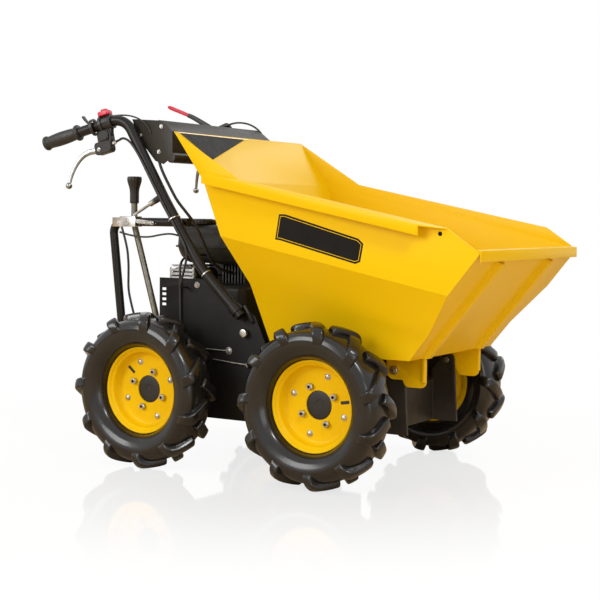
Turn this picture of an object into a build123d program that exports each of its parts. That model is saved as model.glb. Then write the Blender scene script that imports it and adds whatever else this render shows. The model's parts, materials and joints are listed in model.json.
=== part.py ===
"""Motorized wheelbarrow: a four-wheel-drive mini dumper with a tipping sheet-steel skip.

Millimetres. +X points forward, to the skip's lip, +Y to the operator's left and +Z up. The origin lies
on the ground below the middle of the whole machine. Pieces named right are on the -Y side.
"""
import os
from math import acos, ceil, cos, hypot, pi, radians, sin, tan

from build123d import *

os.makedirs("parts", exist_ok=True)

# General values
overrun = 10.0  # how far a cutting shape passes the faces that it cuts
seat_gap = 0.3  # between neighbours that seat on each other across a joint
fit = 0.05  # radial clearance of a pin or shaft in its bore
moving_gap = 5.0  # between a piece that moves and its neighbour
bar_facets = 12  # flat facets round a bent bar, which keep it light
bend_step = 18.0  # degrees, the most that a bar turns in one straight step of a bend
sides = {"right": -1, "left": 1}

# Wheels and tyres
wheelbase = 520.0
front_axle_x = 250.0
rear_axle_x = front_axle_x - wheelbase
wheel_radius = 203.0  # to the lugs' tips
axle_z = wheel_radius
track_half = 329.0  # from the middle of the machine to a tyre's middle plane
tyre_width = 110.0
lug_height = 15.0
lug_width = 27.0
lug_pairs = 11
lug_slant = 38.0  # degrees that a lug leans away from straight across
tyre_half = tyre_width / 2
carcass_radius = wheel_radius - lug_height
carcass_facets = lug_pairs * 2
rim_seat_radius = 101.6
rim_flange_radius = 113.5
rim_half_width = 26.0
rim_inset = 8.0  # of the rim's middle from the tyre's, towards the machine
rim_sheet = 3.2
bead_gap = 0.3
bead_seat_share = 0.72  # of the rim's half width, where the tyre's beads end
bead_lip = 1.5  # of the tyre's side wall over the rim's flange
disc_depth = 34.5  # from the outer flange's edge in to the disc
disc_round = 11.0  # where the disc curves into the rim's barrel
disc_sheet = 4.0
disc_hole_gap = 1.5
stud_circle = 50.0
stud_hole_radius = 6.5
stud_count = 4
stud_turn = 28.0  # degrees
stud_facets = 6
hub_radius = 34.5
hub_flange_radius = 58.0
hub_flange_thickness = 8.0
hub_boss = 33.0  # behind the flange, round the spindle
hub_recess = 2.0  # of its closed face behind the disc's
hub_facets = 12
rear_wheel_pitches = 4  # lug pitches that the rear wheels have rolled on past the front ones
spindle_radius = 15.0
spindle_depth = 38.0

# Axles
axle_tube_radius = 26.0
axle_end_y = 262.0  # where an axle's tube ends, just inside the tyres
gearbox_radius = 72.0
gearbox_half_width = 62.0

# Chassis: the rails clear the gearboxes, and every height called a rise is measured from the rails' top
deck_gap = 7.0
rail_top = axle_z + gearbox_radius + deck_gap
rail_width = 34.0
rail_wall = 3.0
rail_rear_x = -405.0
rail_front_x = 330.0
cross_width = 40.0
rest_x = 106.0  # middle of the cross member that the skip rests over
engine_cross_x = -165.0
post_thickness = 8.0
post_width = 62.0
post_foot_rise = -162.0
front_plate_thickness = 5.0

# Skip
sheet = 2.5
skip_tilt = 11.3  # degrees that its fold lines fall towards the lip
pivot_x = 374.5
pivot_rise = 1.0
pivot_z = rail_top + pivot_rise
pivot_y = 155.0
rim_half = 310.0  # half width outside the upper band
rim_rise = 396.0
rim_height = rail_top + rim_rise
upper_fold_rise = 241.6
lower_fold_rise = 128.5
lower_fold_half = 244.0
bottom_half = 235.0
skip_bottom_rise = 35.0
skip_bottom_rear_x = 66.5
skip_bottom_front_x = 455.5
guard_fold = (-100.5, 465.0)
guard_top = (-194.5, 592.0)
wing_foot_x = 5.5
rim_front_x = 582.5
lip_corner = (666.0, 298.0)
hem_drop = 20.0
hem_rise = 6.0
hem_back = 11.0
hem_fall = 2.0
flange_reach = 27.0
flange_drop = 30.0
flange_fall = 6.0  # how far the flange slopes down to its outer bend
flange_rear_x = -88.0
flange_taper_x = 515.0
rib_width = 34.0
rib_top_width = 20.0
rib_depth = 11.0
rib_top_gap = 28.0  # from a rib's top end to the lip
bracket_thickness = 6.0
bracket_back = 23.0
bracket_step = 22.0
bracket_drop = 40.0
bracket_front_x = 460.0
bracket_corner = 15.0
bracket_lobe = 20.0
bracket_fold = 8.0
pin_radius = 8.0
pin_head_radius = 12.0
pin_head_height = 7.0
rest_pad_width = 50.0
rest_pad_length = 40.0

# Handles
tube_radius = 14.0
grip_radius = 17.5
grip_length = 112.0
grip_end_wall = 3.0
grip_end = (-648.0, 290.0, 570.0)
handle_bend = (-404.0, 250.0, 639.0)
handle_knee = (-268.0, 250.0, 417.0)
handle_low = (-148.0, 250.0, 240.0)
handle_foot = (-22.0, 250.0, 120.0)
handle_bend_radius = 55.0
handle_knee_radius = 400.0
handle_low_radius = 220.0

# Side covers
cover_sheet = 3.0
cover_y = handle_foot[1] - tube_radius - cover_sheet / 2
cover_rear_x = -296.0
cover_top_rise = 211.0
cover_bottom_rise = -152.0
cover_front_x = 66.0
cover_shoulder_x = -150.0
cover_nose = (12.0, 120.0)
cover_nose_top_rise = 24.0
cover_nose_step = 30.0
cover_notch = 48.0  # room round the rear axle's tube
vent_length = 14.0
vent_height = 7.0
vent_pitch = 13.5
vent_count = 4
vent_inset = 15.0  # from the cover's rear edge
vent_drop = 30.0  # from its top edge

# Engine
engine_x = -205.0
engine_length = 190.0
engine_width = 220.0
engine_bottom = rail_top
engine_height = 188.0
engine_corner = 18.0
fin_pitch = 10.0
fin_thickness = 3.5
fin_width = 130.0
fin_offset = 30.0  # of the cylinder in front of the engine's middle
cylinder_core = 84.0
cylinder_height = 59.0
tank_length = 235.0
tank_width = 270.0
tank_height = 105.0
tank_x = -218.0
tank_corner = 30.0
tank_top_corner = 8.0
tank_belly = 24.0  # how far its lower half draws in
cap_radius = 38.0
cap_height = 16.0
cap_ribs = 20
cap_x = -262.0
cap_y = -88.0
filter_length = 74.0
filter_width = 100.0
filter_y = 78.0
muffler_length = 84.0
muffler_width = 120.0
muffler_height = 46.0
muffler_x = -294.0
muffler_y = -78.0
muffler_corner = 10.0
starter_radius = 92.0
starter_depth = 58.0

# Rear guard and gear lever
guard_radius = 11.5
guard_y = handle_knee[1] - tube_radius - guard_radius
guard_top_point = (-466.0, 358.0)
guard_foot_lift = 1.6
guard_foot_point = (rail_rear_x - cross_width / 2, guard_foot_lift)
guard_front_x = -208.0
guard_corner = 30.0
lever_radius = 9.0
lever_y = 200.0
lever_base = (-304.0, 3.0)
lever_knee = (-411.0, 351.0)
lever_top = (-411.0, 408.0)
lever_bend = 80.0
knob_radius = 20.0
knob_length = 73.0
# columns: radius and height, as shares of the knob's widest radius and its length
knob_shares = [(0, 0), (0.60, 0), (0.64, 0.42), (1, 0.84), (1, 0.92), (0.74, 1), (0, 1)]

# Controls
console_sheet = 3.0
# columns: place along the machine and rise, from the handle's bend round the plate
console_outline = [
    (-391.0, 634.0),
    (-302.0, 628.0),
    (-277.0, 614.0),
    (-257.0, 598.0),
    (-256.0, 548.0),
    (-260.0, 529.0),
    (-285.0, 512.0),
    (-312.0, 521.0),
    (-372.0, 585.0),
]
console_bar_radius = 14.0
clamp_place = 199.0  # from the grip's end along the tube
clamp_length = 38.0
clamp_wall = 6.0
clamp_drop = 62.0
brake_lever_radius = 5.0
brake_lever_knee = (-546.0, 279.0, 533.0)
brake_lever_end = (-565.0, 293.0, 451.0)
brake_lever_gap = 1.7
brake_lever_bend = 30.0
brake_lever_ball = 9.0
ball_facets = 8
ball_share = 0.8  # of the ball's radius, half across its flats
bail_radius = 6.0
bail_knee = (-537.0, 676.0)
bail_end = (-624.0, 709.0)
bail_bend = 60.0
switch_length = 34.0
switch_width = 30.0
switch_corner = 5.0
switch_lift = 0.3
switch_height = 12.0
switch_button_radius = 10.0
switch_button_height = 6.0
latch_rear_x = -431.0
latch_front_x = -377.0
latch_plate_rear_x = -456.0
latch_plate_height = 25.0
latch_sheet = 3.0
latch_lever_radius = 4.0
latch_lever_foot = (-393.0, 376.0)
latch_lever_end = (-300.0, 426.0)
latch_grip_radius = 8.0
latch_grip_length = 42.0

# Cables that the handles and the guard hold
cable_radius = 3.5
cable_facets = 6
cable_gap = 0.3
cable_start_gap = 1.5
cable_start_rise = 570.0
cable_crest = (-395.0, 263.0, 580.0)
cable_turn = (-335.0, 526.0)
cable_low = (-176.0, 281.0)
cable_entry = (-204.0, 188.0)
cable_bends = (24.0, 60.0, 300.0, 60.0, 12.0)
# columns: place along the machine, distance right of its middle and rise
latch_cable_route = [
    (-424.0, 238.0, 343.5),
    (-400.0, 238.0, 248.0),
    (-404.0, 234.0, 173.0),
    (-386.0, 228.0, 98.0),
    (-384.0, 226.0, 0.6),
]
latch_cable_bends = (60.0, 60.0, 60.0)

tilt_plane = Plane(
    origin=(pivot_x, 0, 0),
    x_dir=(0, 1, 0),
    z_dir=(cos(radians(skip_tilt)), 0, -sin(radians(skip_tilt))),
)


def save(piece, name):
    """Labels a finished piece and writes its file."""
    piece.label = name
    export_step(piece, f"parts/{name}.step")
    print(name, round(piece.volume))


def raised(point):
    """A point whose last value is its rise over the rails, with that value as a height instead."""
    return (*point[:-1], rail_top + point[-1])


def side_plane(y, facing=-1):
    """An upright plane along the machine, whose sketches hold x and height."""
    return Plane(origin=(0, y, 0), x_dir=(-facing, 0, 0), z_dir=(0, facing, 0))


def bend(before, corner, after, radius):
    """Points in equal steps along the arc that rounds a corner of a route."""
    back = (before - corner).normalized()
    onward = (after - corner).normalized()
    opening = acos(back.dot(onward))
    turn = pi - opening
    reach = radius / tan(opening / 2)
    centre = corner + (back + onward).normalized() * (radius / sin(opening / 2))
    first = corner + back * reach - centre
    last = corner + onward * reach - centre
    steps = ceil(turn / radians(bend_step))
    shares = [number / steps for number in range(steps + 1)]
    return [centre + (first * sin(turn - turn * s) + last * sin(turn * s)) / sin(turn) for s in shares]


def rod(points, radii, radius, facets=bar_facets):
    """A round bar of flat facets along straight runs, with a bend at each point between its ends."""
    route = [points[0]]
    for before, corner, after, bend_radius in zip(points, points[1:], points[2:], radii):
        route += bend(before, corner, after, bend_radius)
    route.append(points[-1])
    with BuildPart() as bar:
        with BuildLine():
            path = Polyline(*route)
        with BuildSketch(Plane(origin=path @ 0, z_dir=path % 0)):
            RegularPolygon(radius, facets)
        sweep(path=path, transition=Transition.RIGHT)
    return bar.part


def turned(profile, facets):
    """A ring of flat facets: the profile, in radius and height, carried round Z in straight steps."""
    reach = max(r for r, z in profile) + overrun
    low = min(z for r, z in profile) - overrun
    tall = max(z for r, z in profile) - low + overrun
    half_chord = reach * tan(radians(180 / facets))
    with BuildPart() as wedge:
        with BuildSketch(Plane.XZ):
            with BuildLine():
                Polyline(*profile, close=True)
            make_face()
        extrude(amount=half_chord, both=True)
        with BuildSketch(Plane.XY.offset(low)):
            with BuildLine():
                Polyline((0, 0), (reach, half_chord), (reach, -half_chord), close=True)
            make_face()
        extrude(amount=tall, mode=Mode.INTERSECT)
    with BuildPart() as ring:
        with PolarLocations(0, facets):
            add(wedge.part)
    return ring.part


def upright_block(x, y, bottom, size, corner, top_corner):
    """A block with its upright corners and its top edges cut off; size is length, width and height."""
    length, width, height = size
    with BuildPart() as made:
        with BuildSketch(Plane.XY.offset(bottom)) as plan:
            with Locations((x, y)):
                Rectangle(length, width)
            chamfer(plan.vertices(), corner)
        extrude(amount=height)
        chamfer(made.edges().group_by(Axis.Z)[-1], top_corner)
    return made.part


# Tyres: flat facets keep them light, and the lugs stand on both shoulders in turn
# columns: distance from the middle plane, as a share of half the width, and radius, as a share of the way
# from the rim's flange to the carcass's crown
carcass_shares = [(0.74, 0.12), (1.0, 0.5), (0.88, 0.86), (0.36, 0.995)]
# columns: distance from the middle plane, as a share of half the width, and share of the wheel's radius
lug_profile_shares = [
    (-0.12, 0.88),
    (-0.12, 1.02),
    (0.78, 1.02),
    (1.08, 0.955),
    (1.18, 0.86),
    (1.02, 0.79),
    (0.8, 0.8),
]
rim_outer_y = rim_half_width - rim_inset
rim_inner_y = -rim_half_width - rim_inset


def lug_block():
    """One lug at the top of a tyre, standing on its +Z shoulder, with the wheel's axis along Z."""
    lean = radians(lug_slant)
    slanted = Plane(origin=(0, 0, 0), x_dir=(-sin(lean), 0, cos(lean)), z_dir=(cos(lean), 0, sin(lean)))
    with BuildPart() as lug:
        with BuildSketch(slanted):
            with BuildLine():
                Polyline(
                    *[(a * tyre_half, b * wheel_radius) for a, b in lug_profile_shares],
                    close=True,
                )
            make_face()
        extrude(amount=lug_width / 2, both=True)
    return lug.part


def wheel_plane(x, side):
    """The tyre's middle plane, facing outwards."""
    return Plane(origin=(x, side * track_half, axle_z), x_dir=(1, 0, 0), z_dir=(0, side, 0))


wall_height = carcass_radius - rim_flange_radius
side_wall = [(rim_flange_radius + r * wall_height, y * tyre_half) for y, r in carcass_shares]
bore = rim_seat_radius + bead_gap
seat_half = rim_half_width * bead_seat_share
bead_half = seat_half - bead_gap
tyre_outline = [
    (bore, -bead_half - rim_inset),
    (rim_flange_radius + bead_gap, rim_inner_y + bead_gap * 2),
    (rim_flange_radius + bead_lip, rim_inner_y - bead_lip),
    *[(r, -y) for r, y in side_wall],
    *reversed(side_wall),
    (rim_flange_radius + bead_lip, rim_outer_y + bead_lip),
    (rim_flange_radius + bead_gap, rim_outer_y - bead_gap * 2),
    (bore, bead_half - rim_inset),
]
half_facet = 180 / carcass_facets
lug_outer = lug_block().rotate(Axis.Z, half_facet * 2)
lug_inner = lug_block().mirror(Plane.XY)
with BuildPart() as tyre:
    add(turned(tyre_outline, carcass_facets).rotate(Axis.Z, half_facet))
    with PolarLocations(0, lug_pairs):
        add(lug_outer)
        add(lug_inner)
    with BuildSketch(Plane.XY.offset(-tyre_half - overrun)):
        RegularPolygon(wheel_radius, carcass_facets, major_radius=False)
    extrude(amount=tyre_width + overrun * 2, mode=Mode.INTERSECT)

# Rims: a rolled barrel with a flange at each edge and a pressed disc near its outer side
disc_face = rim_outer_y - disc_depth
disc_back = disc_face - disc_sheet
well_radius = rim_seat_radius - rim_sheet
rim_outline = [
    (rim_flange_radius, rim_outer_y),
    (well_radius, rim_outer_y - rim_sheet * 2),
    (well_radius, disc_face + disc_round),
    (well_radius - disc_round, disc_face),
    (hub_radius + disc_hole_gap, disc_face),
    (hub_radius + disc_hole_gap, disc_back),
    (well_radius, disc_back),
    (rim_flange_radius, rim_inner_y),
    (rim_seat_radius, -seat_half - rim_inset),
    (rim_seat_radius, seat_half - rim_inset),
]
with BuildPart() as rim:
    add(turned(rim_outline, carcass_facets).rotate(Axis.Z, half_facet))
    with BuildSketch(Plane.XY.offset(disc_back - overrun)):
        with PolarLocations(stud_circle, stud_count, start_angle=stud_turn):
            RegularPolygon(stud_hole_radius, stud_facets)
    extrude(amount=disc_depth, mode=Mode.SUBTRACT)

# Hubs: a flange behind the disc, a closed face in the disc's hole and a boss over the spindle
hub_face = disc_face - hub_recess
hub_front = disc_back - bead_gap
hub_back = hub_front - hub_flange_thickness
hub_end = hub_back - hub_boss
spindle_tip = hub_end + spindle_depth
hub_outline = [
    (0, hub_face),
    (hub_radius, hub_face),
    (hub_radius, hub_front),
    (hub_flange_radius, hub_front),
    (hub_flange_radius, hub_back),
    (hub_radius, hub_back),
    (hub_radius, hub_end),
    (spindle_radius + fit, hub_end),
    (spindle_radius + fit, spindle_tip),
    (0, spindle_tip),
]
hub = turned(hub_outline, hub_facets)

wheel_pitch = 360 / lug_pairs
# columns: end of the machine, axle's place along it and how far its wheels have rolled, in degrees
axles = [("front", front_axle_x, 0), ("rear", rear_axle_x, rear_wheel_pitches * wheel_pitch)]
for end, x, roll in axles:
    for side_name, side in sides.items():
        place = wheel_plane(x, side).location
        save(tyre.part.rotate(Axis.Z, roll).moved(place), f"tyre_{end}_{side_name}")
        save(rim.part.rotate(Axis.Z, roll).moved(place), f"rim_{end}_{side_name}")
        save(hub.rotate(Axis.Z, roll).moved(place), f"hub_{end}_{side_name}")

# Axles: a tube on each side of a cast gearbox, with a spindle into each hub
spindle_y = track_half + spindle_tip - bead_gap
for end, x, roll in axles:
    axle_plane = Plane(origin=(x, 0, axle_z), x_dir=(1, 0, 0), z_dir=(0, 1, 0))
    with BuildPart() as axle:
        for radius, half_length in (
            (axle_tube_radius, axle_end_y),
            (gearbox_radius, gearbox_half_width),
            (spindle_radius, spindle_y),
        ):
            with BuildSketch(axle_plane):
                RegularPolygon(radius, bar_facets)
            extrude(amount=half_length, both=True)
    save(axle.part, f"{end}_axle")

# Chassis: two box rails, cross members, pivot posts and the rest for the skip
rail_y = cover_y - cover_sheet / 2 - rail_width / 2
rail_height = rail_top - axle_z - axle_tube_radius
rail_middle_z = rail_top - rail_height / 2
rail_length = rail_front_x - rail_rear_x
post_foot_z = rail_top + post_foot_rise
post_y = pivot_y - bracket_thickness / 2 - moving_gap - post_thickness / 2
post_top_radius = post_width / 3
skip_bottom = rail_top + skip_bottom_rise
rest_top = skip_bottom - seat_gap
# columns: place along the machine and half length
cross_members = [
    (rail_rear_x - cross_width / 2, guard_y + guard_radius),
    (engine_cross_x, rail_y - rail_width / 2),
    (rest_x, rail_y - rail_width / 2),
]
with BuildPart() as chassis:
    with BuildSketch(Plane(origin=(rail_rear_x, 0, rail_middle_z), x_dir=(0, 1, 0), z_dir=(1, 0, 0))):
        with Locations((rail_y, 0), (-rail_y, 0)):
            Rectangle(rail_width, rail_height)
            Rectangle(rail_width - rail_wall * 2, rail_height - rail_wall * 2, mode=Mode.SUBTRACT)
    extrude(amount=rail_length)
    for x, half_length in cross_members:
        with BuildSketch(Plane(origin=(x, 0, rail_middle_z), x_dir=(1, 0, 0), z_dir=(0, -1, 0))):
            Rectangle(cross_width, rail_height)
            Rectangle(cross_width - rail_wall * 2, rail_height - rail_wall * 2, mode=Mode.SUBTRACT)
        extrude(amount=half_length, both=True)
    with BuildSketch(Plane.XY.offset(rail_top)):
        with Locations((rest_x, 0)):
            Rectangle(rest_pad_length, rest_pad_width * 2)
    extrude(amount=rest_top - rail_top)
    with BuildSketch(Plane(origin=(rail_front_x, 0, 0), x_dir=(0, 1, 0), z_dir=(1, 0, 0))):
        with Locations((0, (rail_top + post_foot_z) / 2)):
            Rectangle(rail_y * 2 + rail_width, rail_top - post_foot_z)
        with Locations((0, rail_top)):
            Rectangle(rail_y * 2 - rail_width * 2, rail_height * 2, mode=Mode.SUBTRACT)
    extrude(amount=front_plate_thickness)
    for side in sides.values():
        with BuildSketch(side_plane(side * post_y)):
            with BuildLine():
                Polyline(
                    (rail_front_x, post_foot_z),
                    (pivot_x + post_width / 2, post_foot_z),
                    (pivot_x + post_top_radius, pivot_z),
                    (pivot_x - post_top_radius, pivot_z),
                    (rail_front_x, rail_middle_z),
                    close=True,
                )
            make_face()
            with Locations((pivot_x, pivot_z)):
                RegularPolygon(post_top_radius, bar_facets)
                RegularPolygon(pin_radius + fit, bar_facets, major_radius=False, mode=Mode.SUBTRACT)
        extrude(amount=post_thickness / 2, both=True)
save(chassis.part, "chassis_frame")

# Pivot pins: shouldered bolts through the posts and the skip's brackets
pin_inner_y = post_y - post_thickness
pin_outer_y = pivot_y + bracket_thickness / 2 + seat_gap
with BuildPart() as pins:
    for side in sides.values():
        pin_plane = Plane(origin=(pivot_x, side * pin_inner_y, pivot_z), x_dir=(1, 0, 0), z_dir=(0, side, 0))
        with BuildSketch(pin_plane):
            RegularPolygon(pin_radius, bar_facets)
        extrude(amount=pin_outer_y - pin_inner_y)
        with BuildSketch(pin_plane.offset(pin_outer_y - pin_inner_y)):
            RegularPolygon(pin_head_radius, stud_facets)
        extrude(amount=pin_head_height)
save(pins.part, "skip_pivot_pins")

# Skip: folded sheet, the width's section carried down the tilt and met by the side profile
tilt_run = tan(radians(skip_tilt))
lip_x, lip_z = raised(lip_corner)


def rim_z(x):
    """Height of the rim's bend line over the point x."""
    return rim_height + (pivot_x - x) * tilt_run


skip_profile = [
    (skip_bottom_rear_x, skip_bottom),
    raised(guard_fold),
    raised(guard_top),
    (wing_foot_x, rim_z(wing_foot_x)),
    (rim_front_x, rim_z(rim_front_x)),
    (lip_x, lip_z),
    (skip_bottom_front_x, skip_bottom),
]
section_scale = cos(radians(skip_tilt))
tall = rail_top + guard_top[-1]
section_half = [
    (bottom_half, (skip_bottom - (lip_x - pivot_x)) * section_scale),
    (bottom_half, (skip_bottom - (lip_x - pivot_x) * tilt_run) * section_scale),
    (lower_fold_half, (rail_top + lower_fold_rise) * section_scale),
    (rim_half, (rail_top + upper_fold_rise) * section_scale),
    (rim_half, tall),
]
hem_outline = [
    (lip_x + sheet / 2, lip_z - hem_drop),
    (lip_x + sheet / 2, lip_z + hem_rise),
    (lip_x - hem_back, lip_z + hem_rise + hem_fall),
    (lip_x - hem_back, lip_z + hem_rise + hem_fall - sheet),
    (lip_x - sheet / 2, lip_z + hem_rise - sheet),
    (lip_x - sheet / 2, lip_z - hem_drop),
]
flange_bend = rim_height * section_scale
flange_edge = rim_half + flange_reach
slope_run = lip_x - skip_bottom_front_x
slope_rise = lip_z - skip_bottom
slope_length = hypot(slope_run, slope_rise)
slope_plane = Plane(
    origin=(skip_bottom_front_x, 0, skip_bottom),
    x_dir=(0, 1, 0),
    z_dir=(slope_run / slope_length, 0, slope_rise / slope_length),
)


def rim_flange(side):
    """The rim's flange: bent out and down from the side's top edge, and drawn in at its front end."""
    with BuildPart() as made:
        with BuildSketch(tilt_plane):
            with BuildLine():
                Polyline(
                    (side * (rim_half - sheet), flange_bend),
                    (side * rim_half, flange_bend),
                    (side * flange_edge, flange_bend - flange_fall),
                    (side * flange_edge, flange_bend - flange_drop),
                    (side * (flange_edge - sheet), flange_bend - flange_drop),
                    (side * (flange_edge - sheet), flange_bend - flange_fall - sheet),
                    (side * rim_half, flange_bend - sheet),
                    (side * (rim_half - sheet), flange_bend - sheet),
                    close=True,
                )
            make_face()
        extrude(amount=tall, both=True)
        with BuildSketch(Plane.XY):
            with BuildLine():
                Polyline(
                    (flange_rear_x, side * (rim_half - sheet * 2)),
                    (flange_rear_x, side * flange_edge),
                    (flange_taper_x, side * flange_edge),
                    (rim_front_x, side * (rim_half + sheet)),
                    (rim_front_x, side * (rim_half - sheet * 2)),
                    close=True,
                )
            make_face()
        extrude(amount=tall * 2, mode=Mode.INTERSECT)
    return made.part


with BuildPart() as skip_shell:
    with BuildSketch(tilt_plane):
        with BuildLine():
            Polyline(*section_half, *[(-y, v) for y, v in reversed(section_half)], close=True)
        make_face()
    extrude(amount=tall, both=True)
    with BuildSketch(Plane.XZ) as side_sketch:
        with BuildLine():
            Polyline(*skip_profile, close=True)
        make_face()
    extrude(amount=rim_half + overrun, both=True, mode=Mode.INTERSECT)
    mouth = [f for f in skip_shell.faces() if f.normal_at().Z > sin(radians(skip_tilt))]
    offset(amount=-sheet, openings=mouth)
    with BuildSketch(Plane.XZ):
        with BuildLine():
            Polyline(*hem_outline, close=True)
        make_face()
    extrude(amount=rim_half - sheet, both=True)
    for side in sides.values():
        add(rim_flange(side))
        with BuildSketch(slope_plane):
            with BuildLine():
                Polyline(
                    (side * pivot_y - rib_width / 2, 0),
                    (side * pivot_y - rib_top_width / 2, -rib_depth),
                    (side * pivot_y + rib_top_width / 2, -rib_depth),
                    (side * pivot_y + rib_width / 2, 0),
                    close=True,
                )
            make_face()
        extrude(amount=slope_length - rib_top_gap)
        with BuildSketch(Plane.XY.offset(skip_bottom - rib_width)):
            Rectangle(tall * 2, tall * 2)
        extrude(amount=rib_width, mode=Mode.SUBTRACT)
save(skip_shell.part, "skip_shell")

# Brackets: the plates under the skip's front edge that turn on the pins, with a lobe behind and before
bracket_outline = [
    (pivot_x - bracket_back, skip_bottom),
    (pivot_x - bracket_back, pivot_z - bracket_back),
    (pivot_x + bracket_step, pivot_z - bracket_back),
    (pivot_x + bracket_step + bracket_corner / 2, pivot_z - bracket_drop),
    (bracket_front_x, pivot_z - bracket_drop),
    (bracket_front_x, skip_bottom),
]
with BuildPart() as brackets:
    for side in sides.values():
        with BuildSketch(side_plane(side * pivot_y)) as plate:
            with BuildLine():
                Polyline(*bracket_outline, close=True)
            make_face()
            fillet(plate.vertices().sort_by(Axis.X)[0:2].sort_by(Axis.Y)[0], bracket_lobe)
            fillet(plate.vertices().group_by(Axis.Y)[0], bracket_corner)
            with Locations((pivot_x, pivot_z)):
                RegularPolygon(pin_radius + fit, bar_facets, major_radius=False, mode=Mode.SUBTRACT)
        extrude(amount=bracket_thickness / 2, both=True)
        fold_middle_y = pivot_y + bracket_thickness / 2 + bracket_fold / 2
        with BuildSketch(Plane.XY.offset(pivot_z - bracket_drop + bracket_corner)):
            with Locations((bracket_front_x - bracket_thickness / 2, side * fold_middle_y)):
                Rectangle(bracket_thickness, bracket_fold)
        extrude(amount=skip_bottom - pivot_z + bracket_drop - bracket_corner)
save(brackets.part, "skip_brackets")

# Handles: bent tube from the grips down to the chassis
handle_points = [raised(p) for p in (grip_end, handle_bend, handle_knee, handle_low, handle_foot)]
for side_name, side in sides.items():
    route = [Vector(x, side * y, z) for x, y, z in handle_points]
    with BuildPart() as handle:
        add(rod(route, (handle_bend_radius, handle_knee_radius, handle_low_radius), tube_radius))
    save(handle.part, f"handle_tube_{side_name}")
    grip_plane = Plane(origin=route[0], z_dir=(route[1] - route[0]).normalized())
    with BuildPart() as sleeve:
        with BuildSketch(grip_plane.offset(-seat_gap - grip_end_wall)):
            RegularPolygon(grip_radius, bar_facets)
        extrude(amount=grip_length)
        with BuildSketch(grip_plane.offset(-seat_gap)):
            RegularPolygon(tube_radius + fit, bar_facets, major_radius=False)
        extrude(amount=grip_length, mode=Mode.SUBTRACT)
    save(sleeve.part, f"grip_{side_name}")

# Side covers: black sheets between the wheels, with a row of vents near the rear edge
cover_top = rail_top + cover_top_rise
cover_bottom = rail_top + cover_bottom_rise
nose_x, nose_z = raised(cover_nose)
nose_top = rail_top + cover_nose_top_rise
cover_outline = [
    (rear_axle_x + cover_notch, cover_bottom),
    (rear_axle_x + cover_notch, axle_z + cover_notch),
    (cover_rear_x, axle_z + cover_notch),
    (cover_rear_x, cover_top),
    (cover_shoulder_x, cover_top),
    (nose_x, nose_z),
    (nose_x + cover_nose_step, nose_top + cover_nose_step),
    (cover_front_x, nose_top),
    (cover_front_x, cover_bottom),
]
for side_name, side in sides.items():
    with BuildPart() as cover:
        with BuildSketch(side_plane(side * cover_y)):
            with BuildLine():
                Polyline(*cover_outline, close=True)
            make_face()
            for number in range(vent_count):
                with Locations((cover_rear_x + vent_inset, cover_top - vent_drop - number * vent_pitch)):
                    Rectangle(vent_length, vent_height, mode=Mode.SUBTRACT)
        extrude(amount=cover_sheet / 2, both=True)
    save(cover.part, f"side_cover_{side_name}")

# Engine: a plain closed crankcase with its open finned cylinder, tank, filter, starter and muffler
engine_size = (engine_length, engine_width, engine_height)
engine = upright_block(engine_x, 0, engine_bottom, engine_size, engine_corner, engine_corner / 2)
save(engine, "engine_block")

cylinder_bottom = engine_bottom + engine_height
tank_bottom = cylinder_bottom + cylinder_height
fin_count = int(cylinder_core / fin_pitch)
with BuildPart() as cylinder:
    with BuildSketch(Plane.XY.offset(cylinder_bottom)):
        with Locations((engine_x + fin_offset, 0)):
            Rectangle(cylinder_core, cylinder_core)
    extrude(amount=cylinder_height)
    with BuildSketch(Plane.XY.offset(cylinder_bottom + fin_thickness)):
        with Locations((engine_x + fin_offset, 0)):
            with GridLocations(fin_pitch, fin_pitch, fin_count, 1):
                Rectangle(fin_thickness, fin_width)
    extrude(amount=cylinder_height - fin_thickness * 2)
save(cylinder.part, "engine_cylinder")

with BuildPart() as tank:
    for height, draw in ((tank_height / 2, tank_top_corner), (-tank_height / 2, tank_belly)):
        with BuildSketch(Plane.XY.offset(tank_bottom + tank_height / 2)) as plan:
            with Locations((tank_x, 0)):
                Rectangle(tank_length, tank_width)
            chamfer(plan.vertices(), tank_corner)
        extrude(amount=height)
        end_edges = tank.edges().group_by(Axis.Z)
        chamfer(end_edges[-1] if height > 0 else end_edges[0], draw)
save(tank.part, "fuel_tank")

with BuildPart() as tank_cap:
    with BuildSketch(Plane.XY.offset(tank_bottom + tank_height)):
        with Locations((cap_x, cap_y)):
            RegularPolygon(cap_radius, cap_ribs)
    extrude(amount=cap_height)
save(tank_cap.part, "fuel_cap")

filter_size = (filter_length, filter_width, cylinder_height)
air_filter = upright_block(
    muffler_x, filter_y, cylinder_bottom, filter_size, muffler_corner, muffler_corner / 2
)
save(air_filter, "air_filter")

starter_seat = (engine_x, engine_width / 2, engine_bottom + engine_height / 2)
with BuildPart() as starter:
    with BuildSketch(Plane(origin=starter_seat, x_dir=(1, 0, 0), z_dir=(0, 1, 0))):
        RegularPolygon(starter_radius, cap_ribs)
    extrude(amount=starter_depth)
    chamfer(starter.edges().group_by(Axis.Y)[-1], engine_corner)
save(starter.part, "recoil_starter")

muffler_size = (muffler_length, muffler_width, muffler_height)
muffler = upright_block(
    muffler_x, muffler_y, cylinder_bottom, muffler_size, muffler_corner, muffler_corner
)
save(muffler, "muffler")

# Rear guard: a bent tube behind the engine, joined to the chassis
guard_x, guard_z = raised(guard_top_point)
foot_x, foot_z = raised(guard_foot_point)
guard_route = [
    Vector(foot_x, -guard_y, foot_z),
    Vector(guard_x, -guard_y, guard_z),
    Vector(guard_front_x, -guard_y, guard_z),
]
save(rod(guard_route, (guard_corner,), guard_radius), "rear_guard")

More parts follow.
